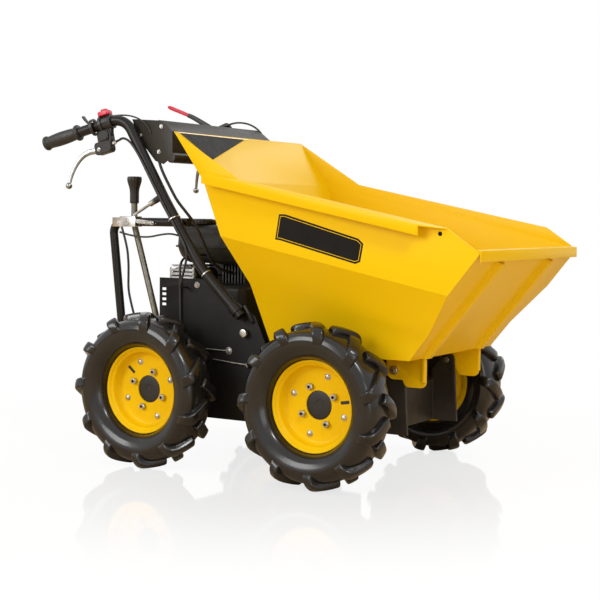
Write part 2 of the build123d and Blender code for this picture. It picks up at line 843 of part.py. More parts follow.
# Gear lever: a rod that leans back and then stands upright, with a long flared knob
lever_route = [Vector(x, -lever_y, z) for x, z in map(raised, (lever_base, lever_knee, lever_top))]
save(rod(lever_route, (lever_bend,), lever_radius), "gear_lever")
knob_outline = [(r * knob_radius, h * knob_length) for r, h in knob_shares]
knob = turned(knob_outline, bar_facets).moved(Location(lever_route[-1]))
save(knob, "gear_knob")

# Console: a plate at each handle's bend, the folded sheet between them and the bar under it
console_half = handle_knee[1] - tube_radius
plate_points = [raised(p) for p in console_outline]
with BuildPart() as console:
    for side in sides.values():
        with BuildSketch(side_plane(side * (console_half - console_sheet / 2))):
            with BuildLine():
                Polyline(*plate_points, close=True)
            make_face()
        extrude(amount=console_sheet / 2, both=True)
    with BuildSketch(side_plane(0)):
        with BuildLine() as fold:
            Polyline(*plate_points[1:6])
        trace(fold.line, line_width=console_sheet)
        with Locations(plate_points[5]):
            RegularPolygon(console_bar_radius, bar_facets)
    extrude(amount=console_half, both=True)
save(console.part, "handle_console")

# Lever brackets: a clamp on each tube in front of the grip, and the long lever that it carries
clamps = {}
for side_name, side in sides.items():
    grip = Vector(handle_points[0][0], side * handle_points[0][1], handle_points[0][2])
    first_bend = Vector(handle_points[1][0], side * handle_points[1][1], handle_points[1][2])
    along = (first_bend - grip).normalized()
    clamp_middle = grip + along * clamp_place
    clamps[side_name] = (clamp_middle, along)
    clamp_plane = Plane(origin=clamp_middle - along * (clamp_length / 2), z_dir=along, x_dir=(0, 1, 0))
    with BuildPart() as clamp:
        with BuildSketch(clamp_plane):
            RegularPolygon(tube_radius + clamp_wall, bar_facets)
        extrude(amount=clamp_length)
        with BuildSketch(Plane(origin=clamp_middle, x_dir=(1, 0, 0), z_dir=(0, -1, 0))):
            with Locations((0, -tube_radius - clamp_drop / 2)):
                Rectangle(clamp_length, clamp_drop)
        extrude(amount=clamp_wall, both=True)
        with BuildSketch(clamp_plane.offset(-overrun)):
            RegularPolygon(tube_radius + fit, bar_facets, major_radius=False)
        extrude(amount=clamp_length + overrun * 2, mode=Mode.SUBTRACT)
    save(clamp.part, f"lever_bracket_{side_name}")
    pivot = clamp_middle - Vector(0, 0, tube_radius + clamp_drop - brake_lever_radius)
    hand = [pivot - Vector(clamp_length / 2 + brake_lever_gap, 0, 0)]
    hand += [Vector(x, side * y, z) for x, y, z in map(raised, (brake_lever_knee, brake_lever_end))]
    with BuildPart() as lever:
        add(rod(hand, (brake_lever_bend,), brake_lever_radius))
        with BuildSketch(Plane(origin=hand[-1], x_dir=(1, 0, 0), z_dir=(0, -1, 0))):
            RegularPolygon(brake_lever_ball, ball_facets)
        extrude(amount=brake_lever_ball * ball_share, both=True)
    save(lever.part, f"hand_lever_{side_name}")

# Clutch lever: the red blade over the left grip, hinged at the clamp's inner side
left_middle, left_along = clamps["left"]
inward = left_along.cross(Vector(0, 0, 1)).normalized()
bail_seat = left_middle + left_along * (clamp_length / 2)
bail_seat += inward * (tube_radius + clamp_wall + bail_radius + seat_gap)
bail_route = [bail_seat] + [Vector(x, bail_seat.Y, z) for x, z in map(raised, (bail_knee, bail_end))]
save(rod(bail_route, (bail_bend,), bail_radius), "clutch_lever")

# Stop switch: a block with a round button on the right clamp
right_middle, right_along = clamps["right"]
right_up = right_along.cross(Vector(0, 1, 0)).normalized()
switch_seat = right_middle + right_up * (tube_radius + clamp_wall)
switch_plane = Plane(origin=switch_seat, x_dir=right_along, z_dir=right_up)
with BuildPart() as switch:
    with BuildSketch(switch_plane.offset(switch_lift)):
        Rectangle(switch_length, switch_width)
    extrude(amount=switch_height)
    chamfer(switch.edges().filter_by(lambda e: abs((e % 0).dot(right_up)) > fit * 2), switch_corner)
    with BuildSketch(switch_plane.offset(switch_lift + switch_height)):
        RegularPolygon(switch_button_radius, bar_facets)
    extrude(amount=switch_button_height)
save(switch.part, "stop_switch")

# Skip latch: a channel over the guard's bar, its long outer plate and its release lever
saddle_half = guard_radius + seat_gap
latch_top = guard_z + saddle_half
with BuildPart() as latch:
    with BuildSketch(Plane(origin=(latch_rear_x, -guard_y, latch_top), x_dir=(0, 1, 0), z_dir=(1, 0, 0))):
        with BuildLine():
            Polyline(
                (-saddle_half - latch_sheet, -latch_plate_height),
                (-saddle_half - latch_sheet, latch_sheet),
                (saddle_half + latch_sheet, latch_sheet),
                (saddle_half + latch_sheet, -latch_plate_height),
                (saddle_half, -latch_plate_height),
                (saddle_half, 0),
                (-saddle_half, 0),
                (-saddle_half, -latch_plate_height),
                close=True,
            )
        make_face()
    extrude(amount=latch_front_x - latch_rear_x)
    plate_y = -guard_y - saddle_half - latch_sheet / 2
    with BuildSketch(side_plane(plate_y)):
        with Locations(((latch_plate_rear_x + latch_front_x) / 2, latch_top - latch_plate_height / 2)):
            Rectangle(latch_front_x - latch_plate_rear_x, latch_plate_height)
    extrude(amount=latch_sheet / 2, both=True)
    foot, tip = [Vector(x, -guard_y, z) for x, z in map(raised, (latch_lever_foot, latch_lever_end))]
    grip_start = tip - (tip - foot).normalized() * latch_grip_length
    add(rod([foot, grip_start], (), latch_lever_radius))
    add(rod([grip_start, tip], (), latch_grip_radius))
save(latch.part, "skip_latch")

# Cables: one along the outer side of each handle tube, from its lever's bracket to the side cover, and
# one from the latch down to the right rail
cable_y = handle_knee[1] + tube_radius + cable_gap + cable_radius
cable_end_y = cover_y + cover_sheet / 2 + cable_gap
crest_x, crest_y, crest_z = raised(cable_crest)
for side_name, side in sides.items():
    clamp_middle = clamps[side_name][0]
    start_x = clamp_middle.X + clamp_length / 2 + cable_start_gap
    knee = (handle_knee[0], handle_knee[-1])
    beside_tube = [raised(p) for p in (cable_turn, knee, cable_low, cable_entry)]
    cable_route = [Vector(start_x, clamp_middle.Y, rail_top + cable_start_rise)]
    cable_route.append(Vector(crest_x, side * crest_y, crest_z))
    cable_route += [Vector(x, side * cable_y, z) for x, z in beside_tube]
    cable_route.append(Vector(beside_tube[-1][0], side * cable_end_y, beside_tube[-1][-1]))
    save(rod(cable_route, cable_bends, cable_radius, cable_facets), f"cable_{side_name}")
latch_route = [Vector(x, -y, z) for x, y, z in map(raised, latch_cable_route)]
save(rod(latch_route, latch_cable_bends, cable_radius, cable_facets), "cable_latch")
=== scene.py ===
"""Looks of a motorized wheelbarrow: a four-wheel mini dumper with a yellow tipping skip.

Metres. +X points forward to the skip's lip, +Y to the operator's left and +Z up, and the origin lies on the
ground below the middle of the machine. Pieces named right are on the -Y side.
"""

import json
from math import acos, ceil, cos, pi, radians, sin, tan

import bmesh
import bpy
import numpy as np
from mathutils import Matrix, Vector


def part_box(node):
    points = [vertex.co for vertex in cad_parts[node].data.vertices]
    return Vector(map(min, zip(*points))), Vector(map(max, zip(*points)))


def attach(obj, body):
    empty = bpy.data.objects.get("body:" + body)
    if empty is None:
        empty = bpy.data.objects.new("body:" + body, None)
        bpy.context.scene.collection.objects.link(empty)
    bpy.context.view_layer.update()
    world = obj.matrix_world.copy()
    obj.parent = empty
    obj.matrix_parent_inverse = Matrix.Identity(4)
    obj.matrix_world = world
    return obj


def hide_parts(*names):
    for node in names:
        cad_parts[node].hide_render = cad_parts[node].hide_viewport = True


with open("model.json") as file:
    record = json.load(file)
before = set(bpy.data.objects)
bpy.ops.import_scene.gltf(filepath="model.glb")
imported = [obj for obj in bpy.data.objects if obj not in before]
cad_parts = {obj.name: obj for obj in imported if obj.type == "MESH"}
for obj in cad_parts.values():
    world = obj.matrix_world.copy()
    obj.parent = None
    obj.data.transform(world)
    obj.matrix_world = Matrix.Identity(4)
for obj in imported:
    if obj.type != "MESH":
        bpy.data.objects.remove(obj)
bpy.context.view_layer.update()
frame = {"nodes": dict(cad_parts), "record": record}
nodes = frame["nodes"]

SIDES = {"right": -1, "left": 1}
UP, LEFT, RIGHT, BACK = (0, 0, 1), (0, 1, 0), (0, -1, 0), (-1, 0, 0)


def added(name, data):
    """A new object that holds the data, linked into the scene."""
    made = bpy.data.objects.new(name, data)
    bpy.context.scene.collection.objects.link(made)
    return made


# Camera: the photograph's, found from the four wheels and the skip's symmetric corners
PHOTO_PIXELS = 600
CAMERA_AZIMUTH = radians(31.4221)
CAMERA_ELEVATION = radians(3.3288)
CAMERA_ROLL = radians(0.5908)
CAMERA_DISTANCE = 3.6066
CAMERA_TARGET = Vector((0.0225, 0.0, 0.45))
FOCAL_PIXELS = 1335.76
CENTRE_PIXEL = (307.17, 294.1)


def make_camera():
    """A camera on a sphere round the target, turned about its own axis by the photograph's small roll."""
    a, e, roll = CAMERA_AZIMUTH, CAMERA_ELEVATION, CAMERA_ROLL
    back = Vector((sin(a) * cos(e), -cos(a) * cos(e), sin(e)))
    right = Vector((cos(a), sin(a), 0))
    up = back.cross(right)
    across = right * cos(roll) + up * sin(roll)
    along = up * cos(roll) - right * sin(roll)
    data = bpy.data.cameras.new("camera")
    data.sensor_width = 36
    data.lens = FOCAL_PIXELS / PHOTO_PIXELS * data.sensor_width
    data.shift_x = 0.5 - CENTRE_PIXEL[0] / PHOTO_PIXELS
    data.shift_y = CENTRE_PIXEL[1] / PHOTO_PIXELS - 0.5
    camera = added("camera", data)
    turn = Matrix((across, along, back)).transposed().to_4x4()
    camera.matrix_world = Matrix.Translation(CAMERA_TARGET + back * CAMERA_DISTANCE) @ turn
    bpy.context.scene.camera = camera


make_camera()


# Shader maths: a socket or number that adds Math nodes to its tree when it is used in an expression
class Value:
    """One output socket of a material's tree, with the arithmetic that the finishes use."""

    def __init__(self, finish, socket):
        self.finish = finish
        self.socket = socket

    def _maths(self, operation, first, second):
        return self.finish.node("ShaderNodeMath", {"operation": operation}, {0: first, 1: second})

    def __add__(self, other):
        return self._maths("ADD", self, other)

    def __mul__(self, other):
        return self._maths("MULTIPLY", self, other)

    def __rsub__(self, other):
        return self._maths("SUBTRACT", other, self)

    def above(self, edge, softness):
        """0 below the edge and 1 above it, with a smooth step of the softness between."""
        settings = {"interpolation_type": "SMOOTHSTEP"}
        values = {"Value": self, "From Min": edge - softness, "From Max": edge + softness}
        return self.finish.node("ShaderNodeMapRange", settings, values)


class Finish:
    """A material made of nodes round one Principled shader."""

    def __init__(self, name, **constants):
        self.material = bpy.data.materials.new(name)
        self.material.use_nodes = True
        self.tree = self.material.node_tree
        self.shader = self.tree.nodes["Principled BSDF"]
        self.set(**constants)

    def node(self, kind, settings=None, values=None, output=0):
        """Adds a node of any kind, sets it, feeds its sockets with values or links and gives an output."""
        made = self.tree.nodes.new(kind)
        for name, value in (settings or {}).items():
            setattr(made, name, value)
        for name, value in (values or {}).items():
            self.feed(made.inputs[name], value)
        return Value(self, made.outputs[output])

    def feed(self, socket, value):
        """A link where the value comes from a node, and otherwise the socket's own value."""
        if isinstance(value, Value):
            self.tree.links.new(value.socket, socket)
        elif socket.type == "RGBA" and len(value) == 3:
            socket.default_value = (*value, 1)
        else:
            socket.default_value = value

    def set(self, **values):
        """Feeds the Principled shader, with a socket's name written with underscores."""
        for name, value in values.items():
            self.feed(self.shader.inputs[name.replace("_", " ")], value)
        return self

    def place(self, scale=(1, 1, 1)):
        """Object coordinates, stretched by the scale."""
        where = self.node("ShaderNodeTexCoord", output="Object")
        return self.node("ShaderNodeMapping", None, {"Vector": where, "Scale": scale})

    def noise(self, scale, detail=2.0, roughness=0.5, stretch=(1, 1, 1)):
        """Soft random values from 0 to 1, with features of about 1 / scale metres."""
        values = {"Vector": self.place(stretch), "Scale": scale, "Detail": detail, "Roughness": roughness}
        return self.node("ShaderNodeTexNoise", None, values)

    def mix(self, share, first, second):
        """The first colour at share 0 and the second at share 1."""
        settings = {"data_type": "RGBA", "clamp_factor": True}
        return self.node("ShaderNodeMix", settings, {0: share, 6: first, 7: second}, output=2)

    def bump(self, height, strength, distance):
        """Feeds the shader's Normal with a relief of the height, in metres of distance."""
        values = {"Height": height, "Strength": strength, "Distance": distance}
        return self.set(Normal=self.node("ShaderNodeBump", None, values))


# Finishes
YELLOW = (0.86, 0.56, 0.003)
YELLOW_DEEP = (0.805, 0.485, 0.0024)
BLACK = (0.0068, 0.006, 0.0052)


def yellow_paint(name="yellow_paint"):
    """Glossy powder coat: faint orange peel, slow shifts of tone and fine scuffs."""
    finish = Finish(name, Specular_IOR_Level=0.09, Coat_Weight=0.02, Coat_Roughness=0.08)
    slow = finish.noise(2.6, detail=3.0)
    finish.set(Base_Color=finish.mix(slow * 0.6, YELLOW, YELLOW_DEEP))
    scuff = finish.noise(60, detail=4.0, roughness=0.6, stretch=(1, 1, 4))
    finish.set(Roughness=scuff * 0.16 + 0.24)
    peel = finish.noise(420)
    return finish.bump(peel, strength=0.1, distance=0.0006).material


def black_paint(name="black_paint", base=BLACK, roughness=0.36, shine=0.24):
    """Satin black powder coat with a fine grain and dust that lightens it a little."""
    finish = Finish(name, Specular_IOR_Level=shine)
    dust = finish.noise(9.0, detail=4.0, roughness=0.6).above(0.55, softness=0.25)
    grey = tuple(c * 1.9 + 0.004 for c in base)
    finish.set(Base_Color=finish.mix(dust * 0.6, base, grey))
    finish.set(Roughness=finish.noise(45, detail=3.0) * 0.18 + (roughness - 0.09))
    return finish.bump(finish.noise(900), strength=0.12, distance=0.0004).material


def zinc(name="zinc", base=(0.62, 0.61, 0.58), roughness=0.3):
    """Zinc-plated steel: bright, with cloudy spangle and fine drawn lines."""
    finish = Finish(name, Metallic=1.0)
    cloud = finish.noise(38, detail=3.0, roughness=0.6)
    dark = tuple(c * 0.62 for c in base)
    finish.set(Base_Color=finish.mix(cloud.above(0.5, softness=0.3), dark, base))
    finish.set(Roughness=cloud * 0.22 + (roughness - 0.11))
    return finish.bump(finish.noise(500, stretch=(1, 1, 6)), strength=0.08, distance=0.0003).material


def rubber(name="tyre", base=(0.0078, 0.0072, 0.0064), roughness=0.22):
    """Moulded rubber: a waxy shine, a faint bloom in soft random patches and a fine pebble."""
    finish = Finish(name, Specular_IOR_Level=0.42, Coat_Weight=0.13, Coat_Roughness=0.12)
    bloom = finish.noise(14, detail=4.0, roughness=0.62).above(0.55, softness=0.2)
    finish.set(Base_Color=finish.mix(bloom * 0.6, base, tuple(c * 2.2 for c in base)))
    finish.set(Roughness=finish.noise(24, detail=3.0) * 0.24 + (roughness - 0.12))
    pebble = finish.noise(650, detail=3.0, roughness=0.6)
    return finish.bump(pebble, strength=0.1, distance=0.0005).material


def plastic(name, base, roughness=0.42, grain=700, relief=0.14):
    """Moulded plastic with a fine sparked grain."""
    finish = Finish(name, Specular_IOR_Level=0.45)
    tone = finish.noise(12, detail=3.0)
    light = tuple(c * 1.35 + 0.003 for c in base)
    finish.set(Base_Color=finish.mix(tone * 0.6, base, light))
    finish.set(Roughness=finish.noise(60) * 0.14 + (roughness - 0.07))
    return finish.bump(finish.noise(grain), strength=relief, distance=0.0005).material


def cast_metal(name="engine_cast", base=(0.11, 0.11, 0.108), roughness=0.45, metal=0.85):
    """Sand-cast aluminium, darkened: a coarse pitted grain."""
    finish = Finish(name, Metallic=metal)
    patch = finish.noise(28, detail=4.0, roughness=0.6)
    finish.set(Base_Color=finish.mix(patch.above(0.5, softness=0.3), tuple(c * 0.5 for c in base), base))
    finish.set(Roughness=patch * 0.25 + (roughness - 0.12))
    return finish.bump(finish.noise(340, detail=4.0, roughness=0.65), strength=0.35, distance=0.0009).material


FINISHES = {
    "yellow_paint": yellow_paint(),
    "black_paint": black_paint(),
    "zinc": zinc(),
    "grip_rubber": rubber("grip_rubber", (0.014, 0.0135, 0.013), 0.5),
    "engine_black": black_paint("engine_black", (0.02, 0.0195, 0.018), 0.4),
    "engine_cast": cast_metal(),
    "black_plastic": plastic("black_plastic", (0.01, 0.0094, 0.0086)),
    "red_plastic": plastic("red_plastic", (0.52, 0.018, 0.045), 0.3, 900, 0.06),
    "tyre": rubber(),
    # Flat black for the side label's print, also used as painted shade inside the starter's slots and the
    # flange's holes
    "label_and_shade_black": black_paint("label_and_shade_black", (0.0062, 0.0056, 0.0048), 0.55, 0.1),
    "cover_black": black_paint("cover_black", (0.0062, 0.0056, 0.005), 0.5, 0.12),
    "sheet_black": black_paint("sheet_black", (0.0215, 0.0195, 0.0155), 0.42, 0.22),
    "lever_steel": zinc("lever_steel", (0.36, 0.36, 0.35), 0.26),
    "dull_steel": zinc("dull_steel", (0.235, 0.225, 0.19), 0.4),
}


def dress(piece, finish, body, replaces=None):
    """Gives a piece its finish with its slot, its body and the node that it stands for."""
    piece.data.materials.clear()
    piece.data.materials.append(FINISHES[finish])
    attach(piece, body)
    if replaces:
        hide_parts(replaces)
    return piece


for part in frame["record"]["subparts"]:
    node = nodes[part["node"]]
    node.data.materials.clear()
    node.data.materials.append(FINISHES[part["material_slot"]])


# Meshes from arrays
def unit(direction):
    """The direction with a length of one."""
    direction = np.asarray(direction, float)
    return direction / np.linalg.norm(direction)


def smooth_line(points, steps=6):
    """A Catmull-Rom curve through the points: each span blends its four neighbours with cubic weights."""
    line = np.asarray(points, float)
    line = np.vstack([2 * line[0] - line[1], line, 2 * line[-1] - line[-2]])
    t = np.linspace(0, 1, steps, endpoint=False)[:, None]
    spans = [
        0.5 * (2 * b + (c - a) * t + (2 * a - 5 * b + 4 * c - d) * t**2 + (3 * b - a - 3 * c + d) * t**3)
        for a, b, c, d in zip(line, line[1:], line[2:], line[3:])
    ]
    return np.vstack([*spans, line[-2:-1]])


def bent_line(points, radii, step=radians(8)):
    """Straight runs with an arc at each point between the ends: on an arc the two tangent points' arms are
    blended with the sines of the angle still to turn and the angle already turned."""
    line = [np.asarray(points[0], float)]
    for before, corner, after, radius in zip(points, points[1:], points[2:], radii):
        corner = np.asarray(corner, float)
        back, onward = unit(before - corner), unit(after - corner)
        opening = acos(back @ onward)
        turn = pi - opening
        centre = corner + unit(back + onward) * radius / sin(opening / 2)
        first = corner + back * radius / tan(opening / 2) - centre
        last = corner + onward * radius / tan(opening / 2) - centre
        share = np.linspace(0, 1, ceil(turn / step) + 1)[:, None]
        line.extend(centre + (first * np.sin(turn * (1 - share)) + last * np.sin(turn * share)) / sin(turn))
    line.append(np.asarray(points[-1], float))
    return np.array(line)


def circle(radius, sides=24):
    """Points on a circle: the cosine and sine of equal steps of angle."""
    angle = np.arange(sides) * 2 * pi / sides
    return radius * np.stack([np.cos(angle), np.sin(angle)], -1)


def rounded_rectangle(length, width, radius, steps=6):
    """A rectangle whose corners are quarter circles: each corner's centre plus a turning radius."""
    angle = np.linspace(0, pi / 2, steps)
    corners = [(1, 1), (-1, 1), (-1, -1), (1, -1)]
    points = []
    for quarter, (sx, sy) in enumerate(corners):
        centre = np.array([sx * (length / 2 - radius), sy * (width / 2 - radius)])
        turned_angle = angle + quarter * pi / 2
        points.append(centre + radius * np.stack([np.cos(turned_angle), np.sin(turned_angle)], -1))
    return np.vstack(points)


def inset(outline, distance):
    """An outline drawn in: each corner moves along the sum of its two edges' inward normals."""
    outline = np.asarray(outline, float)
    edges = np.roll(outline, -1, 0) - outline
    area = np.sum(outline[:, 0] * np.roll(outline[:, 1], -1) - np.roll(outline[:, 0], -1) * outline[:, 1])
    inward = np.stack([-edges[:, 1], edges[:, 0]], -1) * np.sign(area)
    inward /= np.linalg.norm(inward, axis=1, keepdims=True)
    before = np.roll(inward, 1, 0)
    shift = (before + inward) / (1 + np.sum(before * inward, 1, keepdims=True))
    return outline + distance * shift


def stacked(outline, levels):
    """Rings of one outline. Each level is a height and how far the outline is drawn in there."""
    rings = []
    for height, drawn in levels:
        rings.append(np.column_stack([inset(outline, drawn), np.full(len(outline), height)]))
    return np.array(rings)


def prism(outline, low, high, edge):
    """A flat outline given thickness, with its edges cut off by the same amount all round."""
    return stacked(outline, [(low, edge), (low + edge, 0), (high - edge, 0), (high, edge)])


def revolved(profile, segments=48, flutes=0, depth=0.0):
    """Rings round Z at each radius and height of the profile; flutes make the radius swing by a cosine."""
    profile = np.asarray(profile, float)
    angle = np.arange(segments) * 2 * pi / segments
    swing = 1 - depth * (0.5 + 0.5 * np.cos(flutes * angle)) if flutes else np.ones(segments)
    radius = profile[:, :1] * swing
    height = np.broadcast_to(profile[:, 1:], radius.shape)
    return np.stack([radius * np.cos(angle), radius * np.sin(angle), height], -1)


def sweep(outline, path, scales=1.0):
    """An outline carried along a path: each ring stands square to the path and is turned from the ring before
    only as far as the path turns."""
    path = np.asarray(path, float)
    runs = np.diff(path, axis=0)
    runs /= np.linalg.norm(runs, axis=1, keepdims=True)
    ahead = np.vstack([runs[:1], runs[:-1] + runs[1:], runs[-1:]])
    ahead /= np.linalg.norm(ahead, axis=1, keepdims=True)
    side = np.cross(ahead[0], UP if abs(ahead[0][2]) < 0.9 else LEFT)
    sides = []
    for direction in ahead:
        side = unit(side - direction * (side @ direction))
        sides.append(side)
    sides = np.array(sides)
    ups = np.cross(sides, ahead)
    scales = np.broadcast_to(scales, len(path))[:, None, None]
    wide = outline[None, :, :1] * sides[:, None]
    tall = outline[None, :, 1:] * ups[:, None]
    return path[:, None] + scales * (wide + tall)


def placed(points, origin, along, across=(1, 0, 0)):
    """Local points laid out in the machine: their Z goes along one direction and their X nearly across it."""
    z = unit(along)
    x = unit(np.asarray(across, float) - z * (z @ np.asarray(across, float)))
    y = np.cross(z, x)
    return np.asarray(origin, float) + points[..., :1] * x + points[..., 1:2] * y + points[..., 2:] * z


BOLT_CORNER = (0.3, 0.2, 0.9)  # roughly where one corner of a bolt's head points
POLE_GAP = 0.000002  # points of a surface that lie closer are merged
SEAM_GAP = 0.00001  # points of a solid that lie closer are merged
FLAT_ANGLE = radians(1.5)
EDGE_ANGLE = radians(28)


class Shape:
    """Closed surfaces on grids of points, gathered into one mesh."""

    def __init__(self):
        self.points = []
        self.faces = []
        self.total = 0

    def loft(self, rings, closed=False):
        """Skins over rings of points. The two ends get a flat face each, or join each other if closed."""
        rows, columns = rings.shape[:2]
        spans = np.arange(rows if closed else rows - 1)
        row, column = np.meshgrid(spans * columns, np.arange(columns), indexing="ij")
        onward = (row + columns) % (rows * columns)
        beside = (column + 1) % columns
        corners = [row + column, row + beside, onward + beside, onward + column]
        self.faces += (self.total + np.stack(corners, -1).reshape(-1, 4)).tolist()
        if not closed:
            last = self.total + (rows - 1) * columns
            self.faces.append(list(range(self.total, self.total + columns)))
            self.faces.append(list(range(last, last + columns)))
        self.points.append(rings.reshape(-1, 3))
        self.total += rows * columns
        return self

    def turned(self, profile, place, facing, segments=40, flutes=0, depth=0.0):
        """A profile revolved about the line that leaves a place in a direction."""
        return self.loft(placed(revolved(profile, segments, flutes, depth), place, facing))

    def tube(self, radius, path, sides=28):
        """A round bar along a path."""
        return self.loft(sweep(circle(radius, sides), path))

    def bar(self, section, path, scales):
        """A bar along a path, with a section given by its width, its height and the radius of its corners."""
        return self.loft(sweep(rounded_rectangle(*section, 4), path, scales))

    def plate(self, size, radius, edge, place, facing, across=(1, 0, 0)):
        """A flat plate with round corners and cut edges round its middle, with its length laid across."""
        length, width, thickness = size
        outline = rounded_rectangle(length, width, radius, 5)
        return self.loft(placed(prism(outline, -thickness / 2, thickness / 2, edge), place, facing, across))

    def bolt(self, place, facing, radius, height=None):
        """A washer and a hexagon head with cut corners, standing on a face."""
        height = height or radius * 0.75
        levels = [(0, 0), (radius * 0.16, 0), (radius * 0.22, radius * 0.08)]
        washer = stacked(circle(radius * 1.45, 20), levels)
        head = stacked(circle(radius, 6), [(0, 0), (height * 0.8, 0), (height, radius * 0.12)])
        for rings in (washer, head):
            self.loft(placed(rings, place, facing, BOLT_CORNER))
        return self

    def build(self, name, finish, body="frame", replaces=None, sharp=34):
        """Puts the surfaces into a mesh, turns its faces outwards and dresses the piece. Edges that turn by
        more than the sharp angle, in degrees, stay sharp."""
        mesh = bpy.data.meshes.new(name)
        mesh.from_pydata(np.vstack(self.points).tolist(), [], self.faces)
        solid = bmesh.new()
        solid.from_mesh(mesh)
        bmesh.ops.remove_doubles(solid, verts=solid.verts, dist=POLE_GAP)
        bmesh.ops.recalc_face_normals(solid, faces=solid.faces)
        solid.to_mesh(mesh)
        solid.free()
        mesh.polygons.foreach_set("use_smooth", np.ones(len(mesh.polygons), bool))
        mesh.set_sharp_from_angle(angle=radians(sharp))
        return dress(added(name, mesh), finish, body, replaces)


def softened(node_name, edge, finish, body):
    """A node's solid as a piece of its own: its seams merged, its flats joined and its edges rounded."""
    mesh = nodes[node_name].data.copy()
    solid = bmesh.new()
    solid.from_mesh(mesh)
    bmesh.ops.remove_doubles(solid, verts=solid.verts, dist=SEAM_GAP)
    bmesh.ops.dissolve_limit(solid, angle_limit=FLAT_ANGLE, verts=solid.verts, edges=solid.edges)
    solid.to_mesh(mesh)
    solid.free()
    mesh.polygons.foreach_set("use_smooth", np.ones(len(mesh.polygons), bool))
    piece = added(f"{node_name}_finished", mesh)
    bevel = piece.modifiers.new("edges", "BEVEL")
    bevel.width = edge
    bevel.segments = 2
    bevel.limit_method = "ANGLE"
    bevel.angle_limit = EDGE_ANGLE
    bevel.harden_normals = True
    return dress(piece, finish, body, node_name)


def cable(name, points, radius, replaces=None):
    """A thin round line on a smooth spline whose control points are the route's."""
    curve = bpy.data.curves.new(name, "CURVE")
    curve.dimensions = "3D"
    curve.bevel_depth = radius
    curve.bevel_resolution = 3
    curve.use_fill_caps = True
    spline = curve.splines.new("NURBS")
    spline.points.add(len(points) - 1)
    for point, place in zip(spline.points, points):
        point.co = (*place, 1)
    spline.order_u = 3
    spline.use_endpoint_u = True
    spline.resolution_u = 10
    return dress(added(name, curve), "black_plastic", "frame", replaces)


def band(centre, along, half_wide, half_tall, width, thickness, sides=44):
    """Rings of a flat band round an oval that stands square to a direction: its angle gives a cosine across
    and a sine up, each times the oval's half size there."""
    angle = np.arange(sides) * 2 * pi / sides
    section = np.array([(-1, -1), (1, -1), (1, 1), (-1, 1)]) * np.array([thickness / 2, width / 2])
    reach = section[None, :, 0]
    rings = np.empty((sides, 4, 3))
    rings[..., 0] = np.cos(angle)[:, None] * (half_wide + reach)
    rings[..., 1] = np.sin(angle)[:, None] * (half_tall + reach)
    rings[..., 2] = section[None, :, 1]
    return placed(rings, centre, along, (0, 1, 0))


def box_of(node_name):
    """A node's lowest corner, its highest corner and the middle between them."""
    low, high = (np.array(corner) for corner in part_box(node_name))
    return low, high, (low + high) / 2


# Wheels
LUG_PAIRS = 11
LUG_PITCH = 2 * pi / LUG_PAIRS
LUG_LEAN = radians(38)
LUG_ROOT = 0.0008  # how far a lug's lower corners stand inside the carcass
WHEEL_PITCHES = {"front": 0, "rear": 4}  # lug pitches by which the wheels stand rolled
TYRE_SEGMENTS = 132
WALL_STEPS = 5
# columns: radius and distance outwards from the tyre's middle plane
OUTER_WALL = [
    (0.1022, 0.0035), (0.1048, 0.0068), (0.1078, 0.0096), (0.1096, 0.0128), (0.112, 0.014), (0.114, 0.0155),
    (0.1148, 0.0188), (0.1162, 0.0235), (0.118, 0.031), (0.124, 0.04), (0.137, 0.0495), (0.152, 0.054),
    (0.166, 0.053), (0.1775, 0.047), (0.1845, 0.035), (0.1878, 0.018), (0.1888, 0.0),
]
INNER_WALL = [
    (0.1878, -0.018), (0.1845, -0.035), (0.1775, -0.047), (0.166, -0.053), (0.152, -0.0545),
    (0.137, -0.051), (0.124, -0.044), (0.118, -0.04), (0.1155, -0.037), (0.1138, -0.0338),
    (0.1022, -0.0262),
]
# columns: radius and height of the mould's raised lines
MOULD_RINGS = [(0.13, 0.0007), (0.1335, 0.0007), (0.1635, 0.0006)]
MOULD_RING_HALF = 0.0012
# columns: arc length from the crown to a place along a lug, and the lug's height there
LUG_STATIONS = [
    (-0.0105, -0.002), (-0.0095, 0.008), (-0.0078, 0.0124), (-0.0045, 0.0141), (0.006, 0.0144),
    (0.016, 0.0148), (0.026, 0.0155), (0.034, 0.0166), (0.04, 0.017), (0.045, 0.0162), (0.049, 0.0142),
    (0.053, 0.0114), (0.057, 0.0088), (0.061, 0.0064), (0.065, 0.0042), (0.069, 0.002), (0.072, -0.0015),
]
# columns: place across a lug, as a share of half its width, and share of its height
LUG_SECTION_SHARES = [
    (-1.16, -0.2), (-1.05, 0.3), (-0.96, 0.72), (-0.86, 0.92), (-0.7, 0.99), (-0.35, 1.0), (0, 1.01),
    (0.35, 1.0), (0.7, 0.99), (0.86, 0.92), (0.96, 0.72), (1.05, 0.3), (1.16, -0.2),
]
LUG_HALF_WIDTH = 0.0138
# Arc lengths between which a lug turns to run straight down the wall
LUG_BEND_START, LUG_BEND_END = 0.04, 0.074
TREAD_RADIUS = 0.195
# columns: radius and distance outwards, round the pressed rim
RIM_LINE = [
    (0.1118, 0.0182), (0.1131, 0.0176), (0.1135, 0.0164), (0.1126, 0.0152), (0.11, 0.0146),
    (0.1084, 0.0118), (0.107, 0.0102), (0.1044, 0.0084), (0.1022, 0.006), (0.1014, 0.003),
    (0.1014, -0.0255), (0.106, -0.0295), (0.1128, -0.0325), (0.1135, -0.034), (0.112, -0.0348),
    (0.105, -0.0318), (0.0984, -0.0285), (0.0984, -0.0235), (0.094, -0.0212), (0.088, -0.0205),
    (0.036, -0.0205), (0.036, -0.0165), (0.086, -0.0165), (0.0905, -0.0157), (0.0945, -0.0128),
    (0.0968, -0.0085), (0.098, -0.003), (0.0984, 0.002), (0.0992, 0.006), (0.1008, 0.0085),
    (0.1032, 0.0102), (0.1052, 0.0118), (0.1064, 0.0148), (0.1078, 0.0168), (0.1098, 0.018),
]
